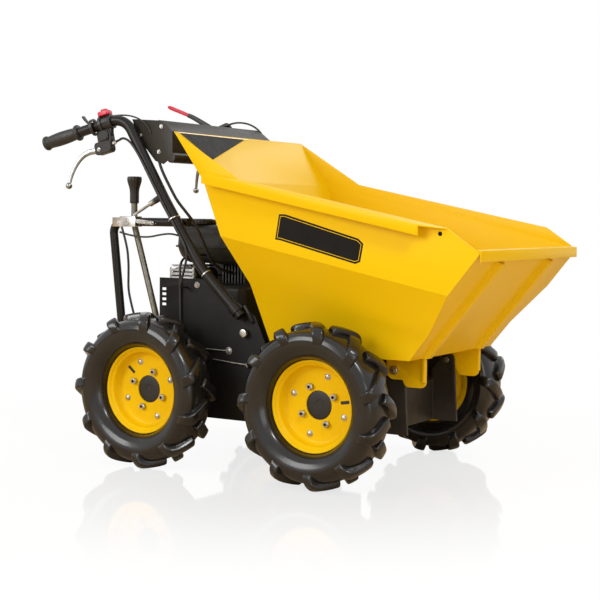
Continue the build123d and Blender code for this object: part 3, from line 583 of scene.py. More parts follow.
HUB_LINE = [
    (0.0, -0.0198), (0.012, -0.0198), (0.0132, -0.0187), (0.0325, -0.0185), (0.0342, -0.019),
    (0.0345, -0.0202), (0.0345, -0.0209), (0.0575, -0.0209), (0.058, -0.0216), (0.058, -0.028),
    (0.0575, -0.0287), (0.036, -0.0287), (0.0345, -0.03), (0.0345, -0.0612), (0.0338, -0.0618),
    (0.0, -0.0618),
]
DISC_FACE = -0.0165
STUD_CIRCLE, STUD_TURN = 0.05, radians(28)
BOLT_CIRCLE, BOLT_TURN = 0.075, radians(71)
NUT_TURN = 0.7  # each nut stands turned by this from the one before, in radians
# columns: height over the disc's face, and how far the outline is drawn in
NUT_LEVELS = [(0, 0), (0.0082, 0), (0.0095, 0.0012)]
SOCKET_LEVELS = [(0.0095, 0), (0.0112, 0.0004), (0.0112, 0.0014), (0.006, 0.0018)]
WASHER_LEVELS = [(0, 0), (0.001, 0), (0.0013, 0.0004)]
DOME_LEVELS = [(0.0013, 0), (0.0036, 0.0003), (0.005, 0.002), (0.0055, 0.0045)]
NUT_LAYERS = [stacked(circle(0.0092, 6), NUT_LEVELS), stacked(circle(0.0052, 20), SOCKET_LEVELS)]
BOLT_LAYERS = [stacked(circle(0.0082, 24), WASHER_LEVELS), stacked(circle(0.0064, 24), DOME_LEVELS)]
SLOT_OUTLINE = rounded_rectangle(0.026, 0.008, 0.0012, 3)
SLOT_DEPTH, SLOT_EDGE = 0.0004, 0.0001
SLOT_TURN = radians(9.5)


def spun(points, angle):
    """Points turned about Z."""
    x = points[..., 0] * cos(angle) - points[..., 1] * sin(angle)
    y = points[..., 0] * sin(angle) + points[..., 1] * cos(angle)
    return np.stack([x, y, points[..., 2]], -1)


def wheel_points(points, centre, side, roll):
    """A wheel's own points, with Z outwards, rolled about Z and then stood up at its place."""
    x, y, outwards = np.moveaxis(spun(points, roll), -1, 0)
    return np.stack([centre[0] + x, centre[1] + side * outwards, centre[2] - side * y], -1)


def on_disc(radius, angle):
    """A place on the disc's face, on a circle of the radius."""
    return np.array([radius * cos(angle), radius * sin(angle), DISC_FACE])


def carcass_line():
    """The tyre's section as a smooth line, with the mould's raised lines as narrow bell curves on it."""
    line = smooth_line(OUTER_WALL + INNER_WALL, WALL_STEPS)
    slope = np.gradient(line, axis=0)
    outward = np.stack([-slope[:, 1], slope[:, 0]], -1)
    outward /= np.linalg.norm(outward, axis=1, keepdims=True)
    outward *= np.sign(outward[(len(OUTER_WALL) - 1) * WALL_STEPS, 0])
    for radius, height in MOULD_RINGS:
        line = line + outward * height * np.exp(-(((line[:, :1] - radius) / MOULD_RING_HALF) ** 2))
    return line, outward


CARCASS, OUTWARD = carcass_line()


def lug_rings():
    """One lug on the outer shoulder: a rounded bar whose section stands on the carcass at an arc length from
    the crown and an angle round the wheel, so that it bends over the shoulder with the carcass."""
    steps = np.linalg.norm(np.diff(CARCASS, axis=0), axis=1)
    arc = np.concatenate([[0], np.cumsum(steps)])
    arc = arc[np.argmax(CARCASS[:, 0])] - arc
    order = np.argsort(arc)
    stations = np.array(LUG_STATIONS)
    reach = stations[:, 0]
    past = np.clip(reach - LUG_BEND_START, 0, LUG_BEND_END - LUG_BEND_START)
    shift = tan(LUG_LEAN) * (reach - past**2 / (2 * (LUG_BEND_END - LUG_BEND_START)))
    slope = tan(LUG_LEAN) * (1 - past / (LUG_BEND_END - LUG_BEND_START))
    length = np.sqrt(1 + slope**2)
    across = np.array(LUG_SECTION_SHARES)
    wide = across[None, :, 0] * LUG_HALF_WIDTH
    along = reach[:, None] - wide * (slope / length)[:, None]
    round_wheel = shift[:, None] + wide * (1 / length)[:, None]
    height = stations[:, 1:] * across[None, :, 1] - LUG_ROOT * (across[None, :, 1] < 0)
    at = [np.interp(along, arc[order], column[order]) for column in (*CARCASS.T, *OUTWARD.T)]
    radius = at[0] + height * at[2]
    angle = -round_wheel / TREAD_RADIUS
    return np.stack([radius * np.cos(angle), radius * np.sin(angle), at[1] + height * at[3]], -1)


def make_wheel(end, side_name, roll):
    """The tyre with its lugs, the pressed rim, the hub and the fasteners of one wheel."""
    name = f"{end}_{side_name}"
    body = f"wheel_{name}"
    _, high, centre = box_of(f"tyre_{name}")
    centre[2] = high[2] / 2

    def at_wheel(points):
        return wheel_points(points, centre, SIDES[side_name], roll)

    tyre = Shape().loft(at_wheel(revolved(CARCASS, TYRE_SEGMENTS)), closed=True)
    lug = lug_rings()
    for number in range(LUG_PAIRS):
        outer = spun(lug, (number + 0.5) * LUG_PITCH - pi / 2)
        inner = spun(lug, number * LUG_PITCH - pi / 2) * np.array([1, 1, -1])
        tyre.loft(at_wheel(outer))
        tyre.loft(at_wheel(inner))
    tyre.build(f"lug_tyre_{name}", "tyre", body, f"tyre_{name}", sharp=50)
    rim = Shape().loft(at_wheel(revolved(RIM_LINE, 96)), closed=True)
    rim.build(f"pressed_rim_{name}", "yellow_paint", body, f"rim_{name}", sharp=40)
    hub = Shape().loft(at_wheel(revolved(HUB_LINE, 72)))
    hub.build(f"wheel_hub_{name}", "black_plastic", body, f"hub_{name}")
    fasteners = Shape()
    for number in range(4):
        quarter = number * pi / 2
        for rings in NUT_LAYERS:
            nut = spun(rings, number * NUT_TURN) + on_disc(STUD_CIRCLE, STUD_TURN + quarter)
            fasteners.loft(at_wheel(nut))
        for rings in BOLT_LAYERS:
            fasteners.loft(at_wheel(rings + on_disc(BOLT_CIRCLE, BOLT_TURN + quarter)))
    fasteners.build(f"wheel_nuts_{name}", "zinc", body)
    # The valve slot is a thin black plate on the disc, not an opening: its black is the tyre's own black
    # behind it together with painted shade inside the slot
    slot = spun(prism(SLOT_OUTLINE, 0, SLOT_DEPTH, SLOT_EDGE) + on_disc(BOLT_CIRCLE, 0), SLOT_TURN)
    Shape().loft(at_wheel(slot)).build(f"rim_slot_shade_{name}", "black_plastic", body)


for end, pitches in WHEEL_PITCHES.items():
    for side_name in SIDES:
        make_wheel(end, side_name, pitches * LUG_PITCH)


# Skip, with three thin layers as the blank label on its right side
softened("skip_shell", 0.0011, "yellow_paint", "skip")
softened("skip_brackets", 0.0012, "yellow_paint", "skip")
softened("skip_pivot_pins", 0.0008, "zinc", "frame")
SKIP_SIDE = -0.31
# columns: place along the machine and height, round the label
LABEL = [
    (0.118, 0.602), (0.129, 0.664), (0.146, 0.664), (0.352, 0.608), (0.366, 0.596), (0.358, 0.553),
    (0.344, 0.548), (0.134, 0.6),
]
# columns: name, how far it is drawn in, how far it stands out, thickness and finish
LABEL_LAYERS = [
    ("side_label_ground", 0.0, 0.0, 0.0005, "label_and_shade_black"),
    ("side_label_line", 0.0045, 0.0005, 0.0003, "yellow_paint"),
    ("side_label_face", 0.006, 0.0008, 0.0003, "label_and_shade_black"),
]
for name, drawn, lift, thickness, finish in LABEL_LAYERS:
    layer = prism(inset(LABEL, drawn), 0, thickness, thickness / 4)
    along, height, out = np.moveaxis(layer, -1, 0)
    Shape().loft(np.stack([along, SKIP_SIDE - lift - out, height], -1)).build(name, finish, "skip")


# Tubes and levers: their routes are the solids' own, as places along, across and over the rails
RAIL_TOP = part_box("engine_block")[0][2]
TUBE_RADIUS = 0.014
GRIP_END = (-0.648, 0.29, 0.57)
HANDLE_BEND = (-0.404, 0.25, 0.639)
HANDLE_KNEE = (-0.268, 0.25, 0.417)
HANDLE_LOW = (-0.148, 0.25, 0.24)
HANDLE_FOOT = (-0.022, 0.25, 0.12)
HANDLE_ROUTE = (GRIP_END, HANDLE_BEND, HANDLE_KNEE, HANDLE_LOW, HANDLE_FOOT)
HANDLE_RADII = (0.055, 0.4, 0.22)
# columns: radius and distance from the grip's end
GRIP_LINE = [
    (0.0, -0.0033), (0.012, -0.0033), (0.0172, -0.002), (0.0196, 0.001), (0.02, 0.005), (0.0188, 0.008),
    (0.0168, 0.011), (0.0172, 0.018), (0.0184, 0.035), (0.019, 0.052), (0.0186, 0.07), (0.0174, 0.088),
    (0.0164, 0.096), (0.0168, 0.099), (0.0205, 0.101), (0.0222, 0.104), (0.0222, 0.1075), (0.0205, 0.1105),
    (0.016, 0.112), (0.0142, 0.112),
]
GRIP_RIBS, GRIP_RIB_DEPTH = 40, 0.035


def at_rail(point, side=1):
    """A point given with its height over the rails, on one side of the machine."""
    return np.array([point[0], side * point[1], RAIL_TOP + point[2]])


def rail_line(points, side=1):
    """A row of such points."""
    return [at_rail(point, side) for point in points]


def tube_frame(side, start, end, share):
    """A point between two points of a route, and the direction there."""
    first, last = at_rail(start, side), at_rail(end, side)
    return first + (last - first) * share, unit(last - first)


def make_handle(side_name, side):
    """A bent tube with a barrel-shaped ribbed grip on its end."""
    route = rail_line(HANDLE_ROUTE, side)
    tube = Shape().tube(TUBE_RADIUS, bent_line(route, HANDLE_RADII))
    tube.build(f"handle_{side_name}", "black_paint", "frame", f"handle_tube_{side_name}")
    profile = smooth_line(GRIP_LINE, 3)
    grip = Shape().turned(profile, route[0], route[1] - route[0], 120, GRIP_RIBS, GRIP_RIB_DEPTH)
    grip.build(f"hand_grip_{side_name}", "grip_rubber", "frame", f"grip_{side_name}", sharp=60)


for side_name, side in SIDES.items():
    make_handle(side_name, side)

GUARD_Y = 0.2245
GUARD_ROUTE = [(-0.425, GUARD_Y, 0.0016), (-0.466, GUARD_Y, 0.358), (-0.208, GUARD_Y, 0.358)]
GUARD_RADIUS, GUARD_BEND = 0.0115, 0.03
guard_path = bent_line(rail_line(GUARD_ROUTE, -1), (GUARD_BEND,))
Shape().tube(GUARD_RADIUS, guard_path).build("guard_bar", "black_paint", "frame", "rear_guard")

GEAR_ROUTE = [(-0.304, 0.2, 0.003), (-0.411, 0.2, 0.351), (-0.411, 0.2, 0.408)]
GEAR_RADIUS, GEAR_BEND = 0.0086, 0.08
KNOB_LINE = [
    (0.0, 0.0), (0.0095, 0.0), (0.0118, 0.001), (0.0124, 0.008), (0.0126, 0.03), (0.0142, 0.042),
    (0.0178, 0.054), (0.0196, 0.061), (0.02, 0.066), (0.0196, 0.07), (0.018, 0.0726), (0.015, 0.073),
    (0.0135, 0.0716), (0.0128, 0.069), (0.006, 0.0684), (0.0, 0.0684),
]
gear_path = bent_line(rail_line(GEAR_ROUTE, -1), (GEAR_BEND,))
Shape().tube(GEAR_RADIUS, gear_path, 24).build("gear_rod", "dull_steel", "frame", "gear_lever")
gear_knob = Shape().turned(smooth_line(KNOB_LINE, 3), gear_path[-1], UP, 96, flutes=16, depth=0.05)
gear_knob.build("gear_grip", "black_plastic", "frame", "gear_knob", sharp=60)

# Cables: held by the tubes, along the solids' own routes
CABLE_RADIUS = 0.0032
CABLE_SIDE = 0.2678
CABLE_START = 0.199  # from the grip's end along the tube
start_x, start_y, _ = np.array(GRIP_END) + unit(np.subtract(HANDLE_BEND, GRIP_END)) * CABLE_START
HAND_CABLE = [
    (start_x + 0.0205, start_y, 0.57), (start_x + 0.0405, start_y, 0.5755),
    (-0.4, 0.263, 0.5835), (-0.372, 0.266, 0.572), (-0.335, CABLE_SIDE, 0.526),
    (HANDLE_KNEE[0], CABLE_SIDE, HANDLE_KNEE[2]), (-0.222, CABLE_SIDE, 0.349),
    (-0.178, CABLE_SIDE, 0.284), (-0.192, CABLE_SIDE, 0.23), (-0.203, CABLE_SIDE, 0.196),
    (-0.204, 0.258, 0.188), (-0.204, 0.2365, 0.188),
]
for side_name, side in SIDES.items():
    cable(f"hand_cable_{side_name}", rail_line(HAND_CABLE, side), CABLE_RADIUS, f"cable_{side_name}")
LATCH_CABLE = [
    (-0.424, 0.238, 0.3435), (-0.406, 0.238, 0.296), (-0.4, 0.238, 0.248), (-0.402, 0.236, 0.21),
    (-0.404, 0.234, 0.173), (-0.395, 0.231, 0.132), (-0.386, 0.228, 0.098), (-0.384, 0.227, 0.05),
    (-0.384, 0.226, 0.0006),
]
cable("release_cable", rail_line(LATCH_CABLE, -1), CABLE_RADIUS, "cable_latch")


# Solids that keep their shape and get rounded edges: node, width of the cut edges and finish
SOFTENED = [
    ("chassis_frame", 0.0014, "sheet_black"),
    ("front_axle", 0.002, "engine_black"),
    ("rear_axle", 0.002, "engine_black"),
    ("side_cover_right", 0.0007, "cover_black"),
    ("side_cover_left", 0.0007, "cover_black"),
    ("engine_block", 0.0035, "engine_black"),
    ("engine_cylinder", 0.0006, "engine_cast"),
    ("air_filter", 0.004, "black_plastic"),
    ("muffler", 0.004, "engine_cast"),
    ("handle_console", 0.0007, "sheet_black"),
    ("lever_bracket_right", 0.0016, "black_plastic"),
    ("lever_bracket_left", 0.0016, "black_plastic"),
    ("stop_switch", 0.0014, "red_plastic"),
    ("skip_latch", 0.0008, "zinc"),
]
for node_name, edge, finish in SOFTENED:
    softened(node_name, edge, finish, "frame")


# Engine: tank, cap and muffler guard
# columns: height over the tank's foot, how far the wall is drawn in, and the corner's radius
TANK_LEVELS = [
    (0.0, 0.036, 0.018), (0.0015, 0.031, 0.02), (0.008, 0.021, 0.024), (0.02, 0.0125, 0.028),
    (0.034, 0.0075, 0.03), (0.0425, 0.0055, 0.031), (0.043, 0.0008, 0.034), (0.0438, 0.0, 0.034),
    (0.0474, 0.0, 0.034), (0.0482, 0.0008, 0.034), (0.0488, 0.005, 0.031), (0.06, 0.0056, 0.031),
    (0.08, 0.0072, 0.03), (0.092, 0.0098, 0.028), (0.099, 0.0145, 0.026), (0.1035, 0.0215, 0.023),
    (0.105, 0.031, 0.02),
]
CAP_LINE = [
    (0.0, 0.0), (0.0345, 0.0), (0.0372, 0.0012), (0.038, 0.0035), (0.038, 0.01), (0.037, 0.0128),
    (0.034, 0.0143), (0.027, 0.015), (0.0255, 0.016), (0.0, 0.016),
]


def make_tank():
    """A tank moulded in two halves that meet in a flange, with a fluted cap on it."""
    low, high, middle = box_of("fuel_tank")
    length, width, _ = high - low
    rings = []
    for rise, drawn, corner in TANK_LEVELS:
        outline = rounded_rectangle(length - 2 * drawn, width - 2 * drawn, corner, 8) + middle[:2]
        rings.append(np.column_stack([outline, np.full(len(outline), low[2] + rise)]))
    Shape().loft(np.array(rings)).build("moulded_tank", "engine_black", "frame", "fuel_tank", sharp=28)
    low, _, middle = box_of("fuel_cap")
    cap = Shape().turned(CAP_LINE, (middle[0], middle[1], low[2]), UP, 96, flutes=24, depth=0.045)
    cap.build("fluted_cap", "black_plastic", "frame", "fuel_cap", sharp=50)


make_tank()

# Lengths, widths and thicknesses of the guard's plates
LOUVRE = (0.011, 0.112, 0.0014)
GUARD_RIB = (0.078, 0.0075, 0.0014)
GUARD_POST = (0.048, 0.006, 0.0016)
GUARD_EDGE = 0.0004
LOUVRE_MARGIN, POST_MARGIN = 0.006, 0.004  # from the muffler's ends
LOUVRE_GAP, RIB_GAP, POST_GAP = 0.0052, 0.003, 0.0012  # off the muffler's faces


def make_muffler_guard():
    """A bright pressed guard: louvres along the muffler's top, and ribs on two posts down its outer side."""
    low, high, middle = box_of("muffler")
    guard = Shape()
    for place in np.linspace(low[0] + LOUVRE_MARGIN, high[0] - LOUVRE_MARGIN, 6):
        guard.plate(LOUVRE, 0.002, GUARD_EDGE, (place, middle[1], high[2] + LOUVRE_GAP), (0.45, 0, 1))
    for place in np.linspace(low[2] + 0.008, high[2] - 0.006, 4):
        guard.plate(GUARD_RIB, 0.002, GUARD_EDGE, (middle[0], low[1] - RIB_GAP, place), (0, -1, 0.5))
    for place in (low[0] + POST_MARGIN, high[0] - POST_MARGIN):
        guard.plate(GUARD_POST, 0.001, GUARD_EDGE, (place, low[1] - POST_GAP, middle[2]), RIGHT, UP)
    guard.build("muffler_guard", "zinc")


make_muffler_guard()

# Side covers: bolts, and a knob and two link rods on the right one
# columns: place along the machine, height over the rails and the head's radius
COVER_BOLTS = [(-0.1722, 0.1948, 0.0058), (-0.0693, 0.0275, 0.0068), (-0.0112, -0.0051, 0.0046)]
COVER_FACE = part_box("side_cover_left")[1][1]
cover_bolts = Shape()
for side in SIDES.values():
    for along, height, radius in COVER_BOLTS:
        cover_bolts.bolt(at_rail((along, COVER_FACE, height), side), (0, side, 0), radius)
cover_bolts.build("cover_bolts", "zinc")
COVER_KNOB_LINE = [
    (0.0, 0.0), (0.007, 0.0), (0.0072, 0.004), (0.0105, 0.0052), (0.0112, 0.007), (0.0112, 0.013),
    (0.0104, 0.0148), (0.007, 0.0155), (0.0, 0.0155),
]
KNOB_PLACE = (-0.0166, COVER_FACE, 0.0771)
knob = Shape().turned(COVER_KNOB_LINE, at_rail(KNOB_PLACE, -1), RIGHT, 72, flutes=18, depth=0.1)
knob.build("cover_knob", "zinc", sharp=50)
LINK_RADIUS = 0.0022
LINK_RODS = [
    [(-0.15, 0.029), (-0.11, 0.028), (-0.074, 0.0275)],
    [(-0.118, 0.003), (-0.06, -0.002), (-0.016, -0.005)],
]
for number, points in enumerate(LINK_RODS):
    line = rail_line([(along, COVER_FACE + LINK_RADIUS, height) for along, height in points], -1)
    Shape().tube(LINK_RADIUS, smooth_line(line, 4), 12).build(f"link_rod_{number}", "dull_steel")


# Handles: cable ties and the straps of their feet
HANDLE_PATH = bent_line(rail_line(HANDLE_ROUTE), HANDLE_RADII)


def on_handle(along, side):
    """The bent tube's middle over a place along the machine, and its direction there."""
    row = int(np.searchsorted(HANDLE_PATH[:, 0], along))
    before, after = HANDLE_PATH[row - 1], HANDLE_PATH[row]
    place = before + (after - before) * (along - before[0]) / (after[0] - before[0])
    mirror = np.array([1, side, 1])
    return place * mirror, unit((after - before) * mirror)


# columns: place along the machine, shift outwards, and the oval's half width and half height
TIES = [(-0.234, 0.0036, 0.0186, 0.0152), (-0.132, 0.0, 0.0147, 0.0147)]
TIE_WIDTH, TIE_THICKNESS = 0.003, 0.0012
ties = Shape()
for side in SIDES.values():
    for reach, shift, half_wide, half_tall in TIES:
        place, along = on_handle(reach, side)
        place = place + np.array([0, side * shift, 0])
        ties.loft(band(place, along, half_wide, half_tall, TIE_WIDTH, TIE_THICKNESS), closed=True)
ties.build("cable_ties", "zinc", sharp=50)

STRAP_TONGUE = (0.05, 0.012, 0.005)
TONGUE_PLACE = (-0.008, 0.24, 0.126)
for side_name, side in SIDES.items():
    place, along = tube_frame(side, HANDLE_LOW, HANDLE_FOOT, 0.86)
    strap = Shape().loft(band(place, along, 0.0155, 0.0155, 0.022, 0.003), closed=True)
    strap.plate(STRAP_TONGUE, 0.003, 0.001, at_rail(TONGUE_PLACE, side), (0, side, 0), (0.55, 0, -0.84))
    strap.build(f"foot_strap_{side_name}", "black_paint", sharp=50)

# Hand levers
# columns: a hand lever's places along, across and over the rail
LEVER_ROUTE = [
    (-0.476, 0.26, 0.549), (-0.496, 0.264, 0.548), (-0.517, 0.269, 0.543), (-0.535, 0.275, 0.53),
    (-0.549, 0.2815, 0.509), (-0.5585, 0.288, 0.482), (-0.564, 0.2925, 0.454),
]
LEVER_SECTION = (0.0062, 0.01, 0.0024)
BALL_LINE = [
    (0.0, -0.009), (0.0045, -0.0078), (0.0078, -0.0045), (0.009, 0.0), (0.0078, 0.0045), (0.0045, 0.0078),
    (0.0, 0.009),
]
# columns: length, width and thickness of a block, its corners' radius, its cut edges and its place
PERCH_BLOCKS = [
    ((0.056, 0.034, 0.024), 0.009, 0.002, (-0.466, 0.2587, 0.558)),
    ((0.046, 0.04, 0.021), 0.007, 0.002, (-0.463, 0.2587, 0.586)),
    ((0.03, 0.03, 0.03), 0.009, 0.003, (-0.46, 0.26, 0.59)),
]
PERCH_RUN = (0.97, 0, 0.22)
PERCH_CLAMPS = (0.158, 0.186)  # from the grip's end along the tube
# columns: place and the head's radius
PERCH_BOLTS = [
    ((-0.478, 0.2705, 0.552), 0.004),
    ((-0.452, 0.269, 0.599), 0.0028),
    ((-0.472, 0.269, 0.595), 0.0028),
]
ADJUSTER_LINE = [
    (0.0, 0.0), (0.0058, 0.0), (0.0062, 0.001), (0.0062, 0.006), (0.0048, 0.007), (0.0046, 0.015),
    (0.0, 0.015),
]
ADJUSTER_PLACE = (-0.4395, 0.259, 0.568)
ADJUSTER_RUN = (0.93, 0, 0.26)


def make_hand_lever(side_name, side):
    """A tapering flat lever with a ball at its end, hung on a moulded perch with its pivot and adjuster."""
    path = smooth_line(rail_line(LEVER_ROUTE, side), 5)
    lever = Shape().bar(LEVER_SECTION, path, np.linspace(1.75, 0.85, len(path)))
    lever.turned(smooth_line(BALL_LINE, 3), path[-1], path[-1] - path[-2], 32)
    lever.build(f"brake_lever_{side_name}", "lever_steel", "frame", f"hand_lever_{side_name}", sharp=40)
    perch = Shape()
    for size, corner, edge, place in PERCH_BLOCKS:
        perch.plate(size, corner, edge, at_rail(place, side), (0, side, 0), PERCH_RUN)
    start, along = tube_frame(side, GRIP_END, HANDLE_BEND, 0)
    for reach in PERCH_CLAMPS:
        perch.loft(band(start + along * reach, along, 0.0205, 0.0205, 0.008, 0.005), closed=True)
    perch.build(f"lever_perch_{side_name}", "black_plastic", sharp=40)
    fittings = Shape()
    for place, radius in PERCH_BOLTS:
        fittings.bolt(at_rail(place, side), (0, side, 0), radius)
    fittings.turned(ADJUSTER_LINE, at_rail(ADJUSTER_PLACE, side), ADJUSTER_RUN, 36, flutes=12, depth=0.12)
    fittings.build(f"lever_fittings_{side_name}", "zinc", sharp=40)


for side_name, side in SIDES.items():
    make_hand_lever(side_name, side)

THROTTLE_ROUTE = [
    (-0.488, 0.266, 0.612), (-0.508, 0.266, 0.618), (-0.526, 0.265, 0.63), (-0.538, 0.264, 0.642),
]
THROTTLE_SECTION = (0.01, 0.005, 0.002)
throttle_path = smooth_line(rail_line(THROTTLE_ROUTE, -1), 4)
throttle = Shape().bar(THROTTLE_SECTION, throttle_path, np.linspace(0.8, 1.15, len(throttle_path)))
throttle.build("throttle_lever", "black_plastic")

# Clutch lever on the left: a black body and a red blade
CLUTCH_BODY = [
    (-0.44, 0.232, 0.6265), (-0.46, 0.231, 0.637), (-0.495, 0.2301, 0.656), (-0.53, 0.2301, 0.6735),
    (-0.548, 0.2301, 0.6805),
]
CLUTCH_BLADE = [
    (-0.544, 0.2301, 0.679), (-0.57, 0.2301, 0.689), (-0.598, 0.2301, 0.699), (-0.626, 0.2301, 0.7092),
]
BODY_SECTION = (0.012, 0.015, 0.004)
BLADE_SECTION = (0.0075, 0.0115, 0.003)
body_path = smooth_line(rail_line(CLUTCH_BODY), 4)
clutch_body = Shape().bar(BODY_SECTION, body_path, np.linspace(1.15, 0.85, len(body_path)))
clutch_body.build("clutch_body", "black_plastic")
blade_path = smooth_line(rail_line(CLUTCH_BLADE), 4)
blade_scales = np.concatenate([np.linspace(0.95, 1.05, len(blade_path) - 2), [0.95, 0.55]])
clutch_blade = Shape().bar(BLADE_SECTION, blade_path, blade_scales)
clutch_blade.build("clutch_blade", "red_plastic", "frame", "clutch_lever")
place, along = tube_frame(1, GRIP_END, HANDLE_BEND, 0.9)
clutch_clamp = Shape().loft(band(place, along, 0.018, 0.018, 0.024, 0.007), closed=True)
clutch_clamp.build("clutch_clamp", "black_plastic", sharp=50)

# Latch: the grip on its release lever, two plates with their bolts and a spring
LATCH_LEVER = [(-0.393, GUARD_Y, 0.376), (-0.3, GUARD_Y, 0.426)]
LATCH_GRIP_LINE = [
    (0.0, 0.0), (0.0052, 0.0), (0.0068, 0.0012), (0.0074, 0.006), (0.0084, 0.02), (0.009, 0.032),
    (0.0088, 0.04), (0.0076, 0.045), (0.0045, 0.0475), (0.0, 0.048),
]
latch_end, latch_along = tube_frame(-1, *LATCH_LEVER, 0.6)
latch_line = smooth_line(LATCH_GRIP_LINE, 3)
latch_grip = Shape().turned(latch_line, latch_end, latch_along, 72, flutes=12, depth=0.06)
latch_grip.build("latch_grip", "black_plastic", sharp=50)
# columns: length, width and thickness of a plate, its corners' radius, its place and its run
LATCH_PLATES = [
    ((0.066, 0.011, 0.003), 0.004, (-0.348, 0.2375, 0.358), (1, 0, -0.1)),
    ((0.034, 0.02, 0.003), 0.006, (-0.416, 0.24, 0.356), (1, 0, 0.25)),
]
LATCH_EDGE = 0.0006
LATCH_FACE = 0.2392
# columns: place along the machine, height over the rails and the head's radius
LATCH_BOLTS = [(-0.434, 0.356, 0.0042), (-0.408, 0.362, 0.005), (-0.322, 0.356, 0.0036)]
latch = Shape()
for size, corner, place, run in LATCH_PLATES:
    latch.plate(size, corner, LATCH_EDGE, at_rail(place, -1), RIGHT, run)
for along, height, radius in LATCH_BOLTS:
    latch.bolt(at_rail((along, LATCH_FACE, height), -1), RIGHT, radius)
latch.build("latch_hardware", "zinc")
SPRING_TURNS, SPRING_STEPS = 9, 14
SPRING_LENGTH, SPRING_RADIUS, SPRING_WIRE = 0.06, 0.0042, 0.0008
spring_start = at_rail((-0.37, GUARD_Y + 0.0145, 0.356), -1)
turns = np.linspace(0, SPRING_TURNS * 2 * pi, SPRING_TURNS * SPRING_STEPS)
coil = [turns / turns[-1] * SPRING_LENGTH, SPRING_RADIUS * np.cos(turns), SPRING_RADIUS * np.sin(turns)]
spring = Shape().tube(SPRING_WIRE, spring_start + np.stack(coil, -1), 6)
spring.build("latch_spring", "zinc", sharp=60)

# Thin wires and cables clipped along the machine: places along, across and over the rail
WIRES = {
    "clutch_cable": (0.0028, [
        (-0.43, 0.233, 0.64), (-0.41, 0.236, 0.648), (-0.37, 0.238, 0.656), (-0.325, 0.239, 0.648),
        (-0.29, 0.24, 0.625), (-0.27, 0.241, 0.59), (-0.262, 0.241, 0.56),
    ]),
    "switch_wire": (0.0022, [
        (-0.446, -0.25, 0.643), (-0.425, -0.243, 0.646), (-0.385, -0.24, 0.642), (-0.35, -0.239, 0.627),
        (-0.332, -0.238, 0.609), (-0.326, -0.238, 0.595),
    ]),
    "console_cable": (0.004, [
        (-0.304, -0.231, 0.525), (-0.3, -0.231, 0.51), (-0.287, -0.23, 0.483), (-0.267, -0.228, 0.449),
        (-0.247, -0.225, 0.415), (-0.224, -0.215, 0.385), (-0.205, -0.195, 0.35), (-0.196, -0.172, 0.3),
        (-0.19, -0.15, 0.255), (-0.18, -0.115, 0.23), (-0.17, -0.07, 0.22),
    ]),
    "tank_hose": (0.0034, [
        (-0.215, -0.12, 0.27), (-0.218, -0.15, 0.272), (-0.224, -0.2, 0.27), (-0.227, -0.23, 0.26),
        (-0.226, -0.2402, 0.235), (-0.224, -0.2402, 0.17), (-0.223, -0.2402, 0.1), (-0.222, -0.2402, 0.04),
        (-0.222, -0.2402, 0.0),
    ]),
    "latch_wire": (0.0026, [
        (-0.43, -0.2385, 0.33), (-0.4, -0.24, 0.322), (-0.337, -0.2385, 0.316), (-0.29, -0.233, 0.326),
        (-0.262, -0.224, 0.328), (-0.24, -0.205, 0.318), (-0.226, -0.18, 0.295), (-0.222, -0.155, 0.255),
        (-0.228, -0.12, 0.22), (-0.232, -0.03, 0.21), (-0.234, 0.015, 0.21),
    ]),
}
for name, (radius, points) in WIRES.items():
    cable(name, rail_line(points), radius)

# Engine dress
# columns: share of the starter's radius, and depth below its face
STARTER_DOME = [
    (1.0, 0.057), (1.0, 0.02), (0.985, 0.013), (0.93, 0.0075), (0.86, 0.005), (0.4, 0.003), (0.385, 0.001),
    (0.36, 0.0), (0.0, 0.0),
]
STARTER_SLOTS = 16
STARTER_SLOT = (0.034, 0.0065, 0.0024)
STARTER_SLOT_RING, STARTER_BOLT_RING = 0.64, 0.9  # shares of its radius
STARTER_SLOT_DEPTH, STARTER_BOLT_DEPTH = 0.004, 0.0065  # below its face
GUIDE_LINE = [(0.0, 0.0), (0.013, 0.0), (0.013, 0.009), (0.01, 0.012), (0.0, 0.012)]
PULL_LINE = [
    (0.0, 0.0), (0.006, 0.0), (0.0085, 0.003), (0.009, 0.008), (0.0078, 0.018), (0.009, 0.027),
    (0.0088, 0.032), (0.006, 0.035), (0.0, 0.035),
]
PULL_RUN = (-0.7, 0.1, 0.7)


def make_starter():
    """A domed starter cover with a ring of flat black plates painted as the shade in its slots, a boss with
    bolts and a pull on a cord guide.
    """
    low, high, middle = box_of("recoil_starter")
    middle[1] = high[1]
    radius = (high[2] - low[2]) / 2
    dome = [(radius * share, -depth) for share, depth in STARTER_DOME]
    cover = Shape().turned(dome, middle, LEFT, 96)
    cover.build("starter_cover", "black_plastic", "frame", "recoil_starter", sharp=30)

    def on_cover(share, angle, depth):
        """A place on the cover, and the direction outwards there."""
        outwards = np.array([cos(angle), 0, sin(angle)])
        return middle + radius * share * outwards - np.array([0, depth, 0]), outwards

    # The slots are flat black plates on the cover, not openings: their dark is painted shade
    slots, bolts = Shape(), Shape()
    for number in range(STARTER_SLOTS):
        angle = number * 2 * pi / STARTER_SLOTS
        place, outwards = on_cover(STARTER_SLOT_RING, angle, STARTER_SLOT_DEPTH)
        slots.plate(STARTER_SLOT, 0.003, 0.0005, place, LEFT, outwards)
    for number in range(4):
        place, _ = on_cover(STARTER_BOLT_RING, (number + 0.5) * pi / 2, STARTER_BOLT_DEPTH)
        bolts.bolt(place, LEFT, 0.0048)
    bolts.bolt(middle, LEFT, 0.006)
    slots.build("starter_slot_shades", "label_and_shade_black")
    bolts.build("starter_bolts", "zinc")
    start = middle + np.array([-radius * 0.7, -0.026, radius * 0.66])
    grip = Shape().turned(GUIDE_LINE, start, PULL_RUN, 32)
    grip.turned(smooth_line(PULL_LINE, 3), start + np.array([-0.0085, 0.0012, 0.0085]), PULL_RUN)
    grip.build("starter_pull", "black_plastic")


make_starter()

CASE_COVER = (0.15, 0.112, 0.006)
CASE_RIB = (0.118, 0.005, 0.005)
CASE_RIB_STEP = 0.016


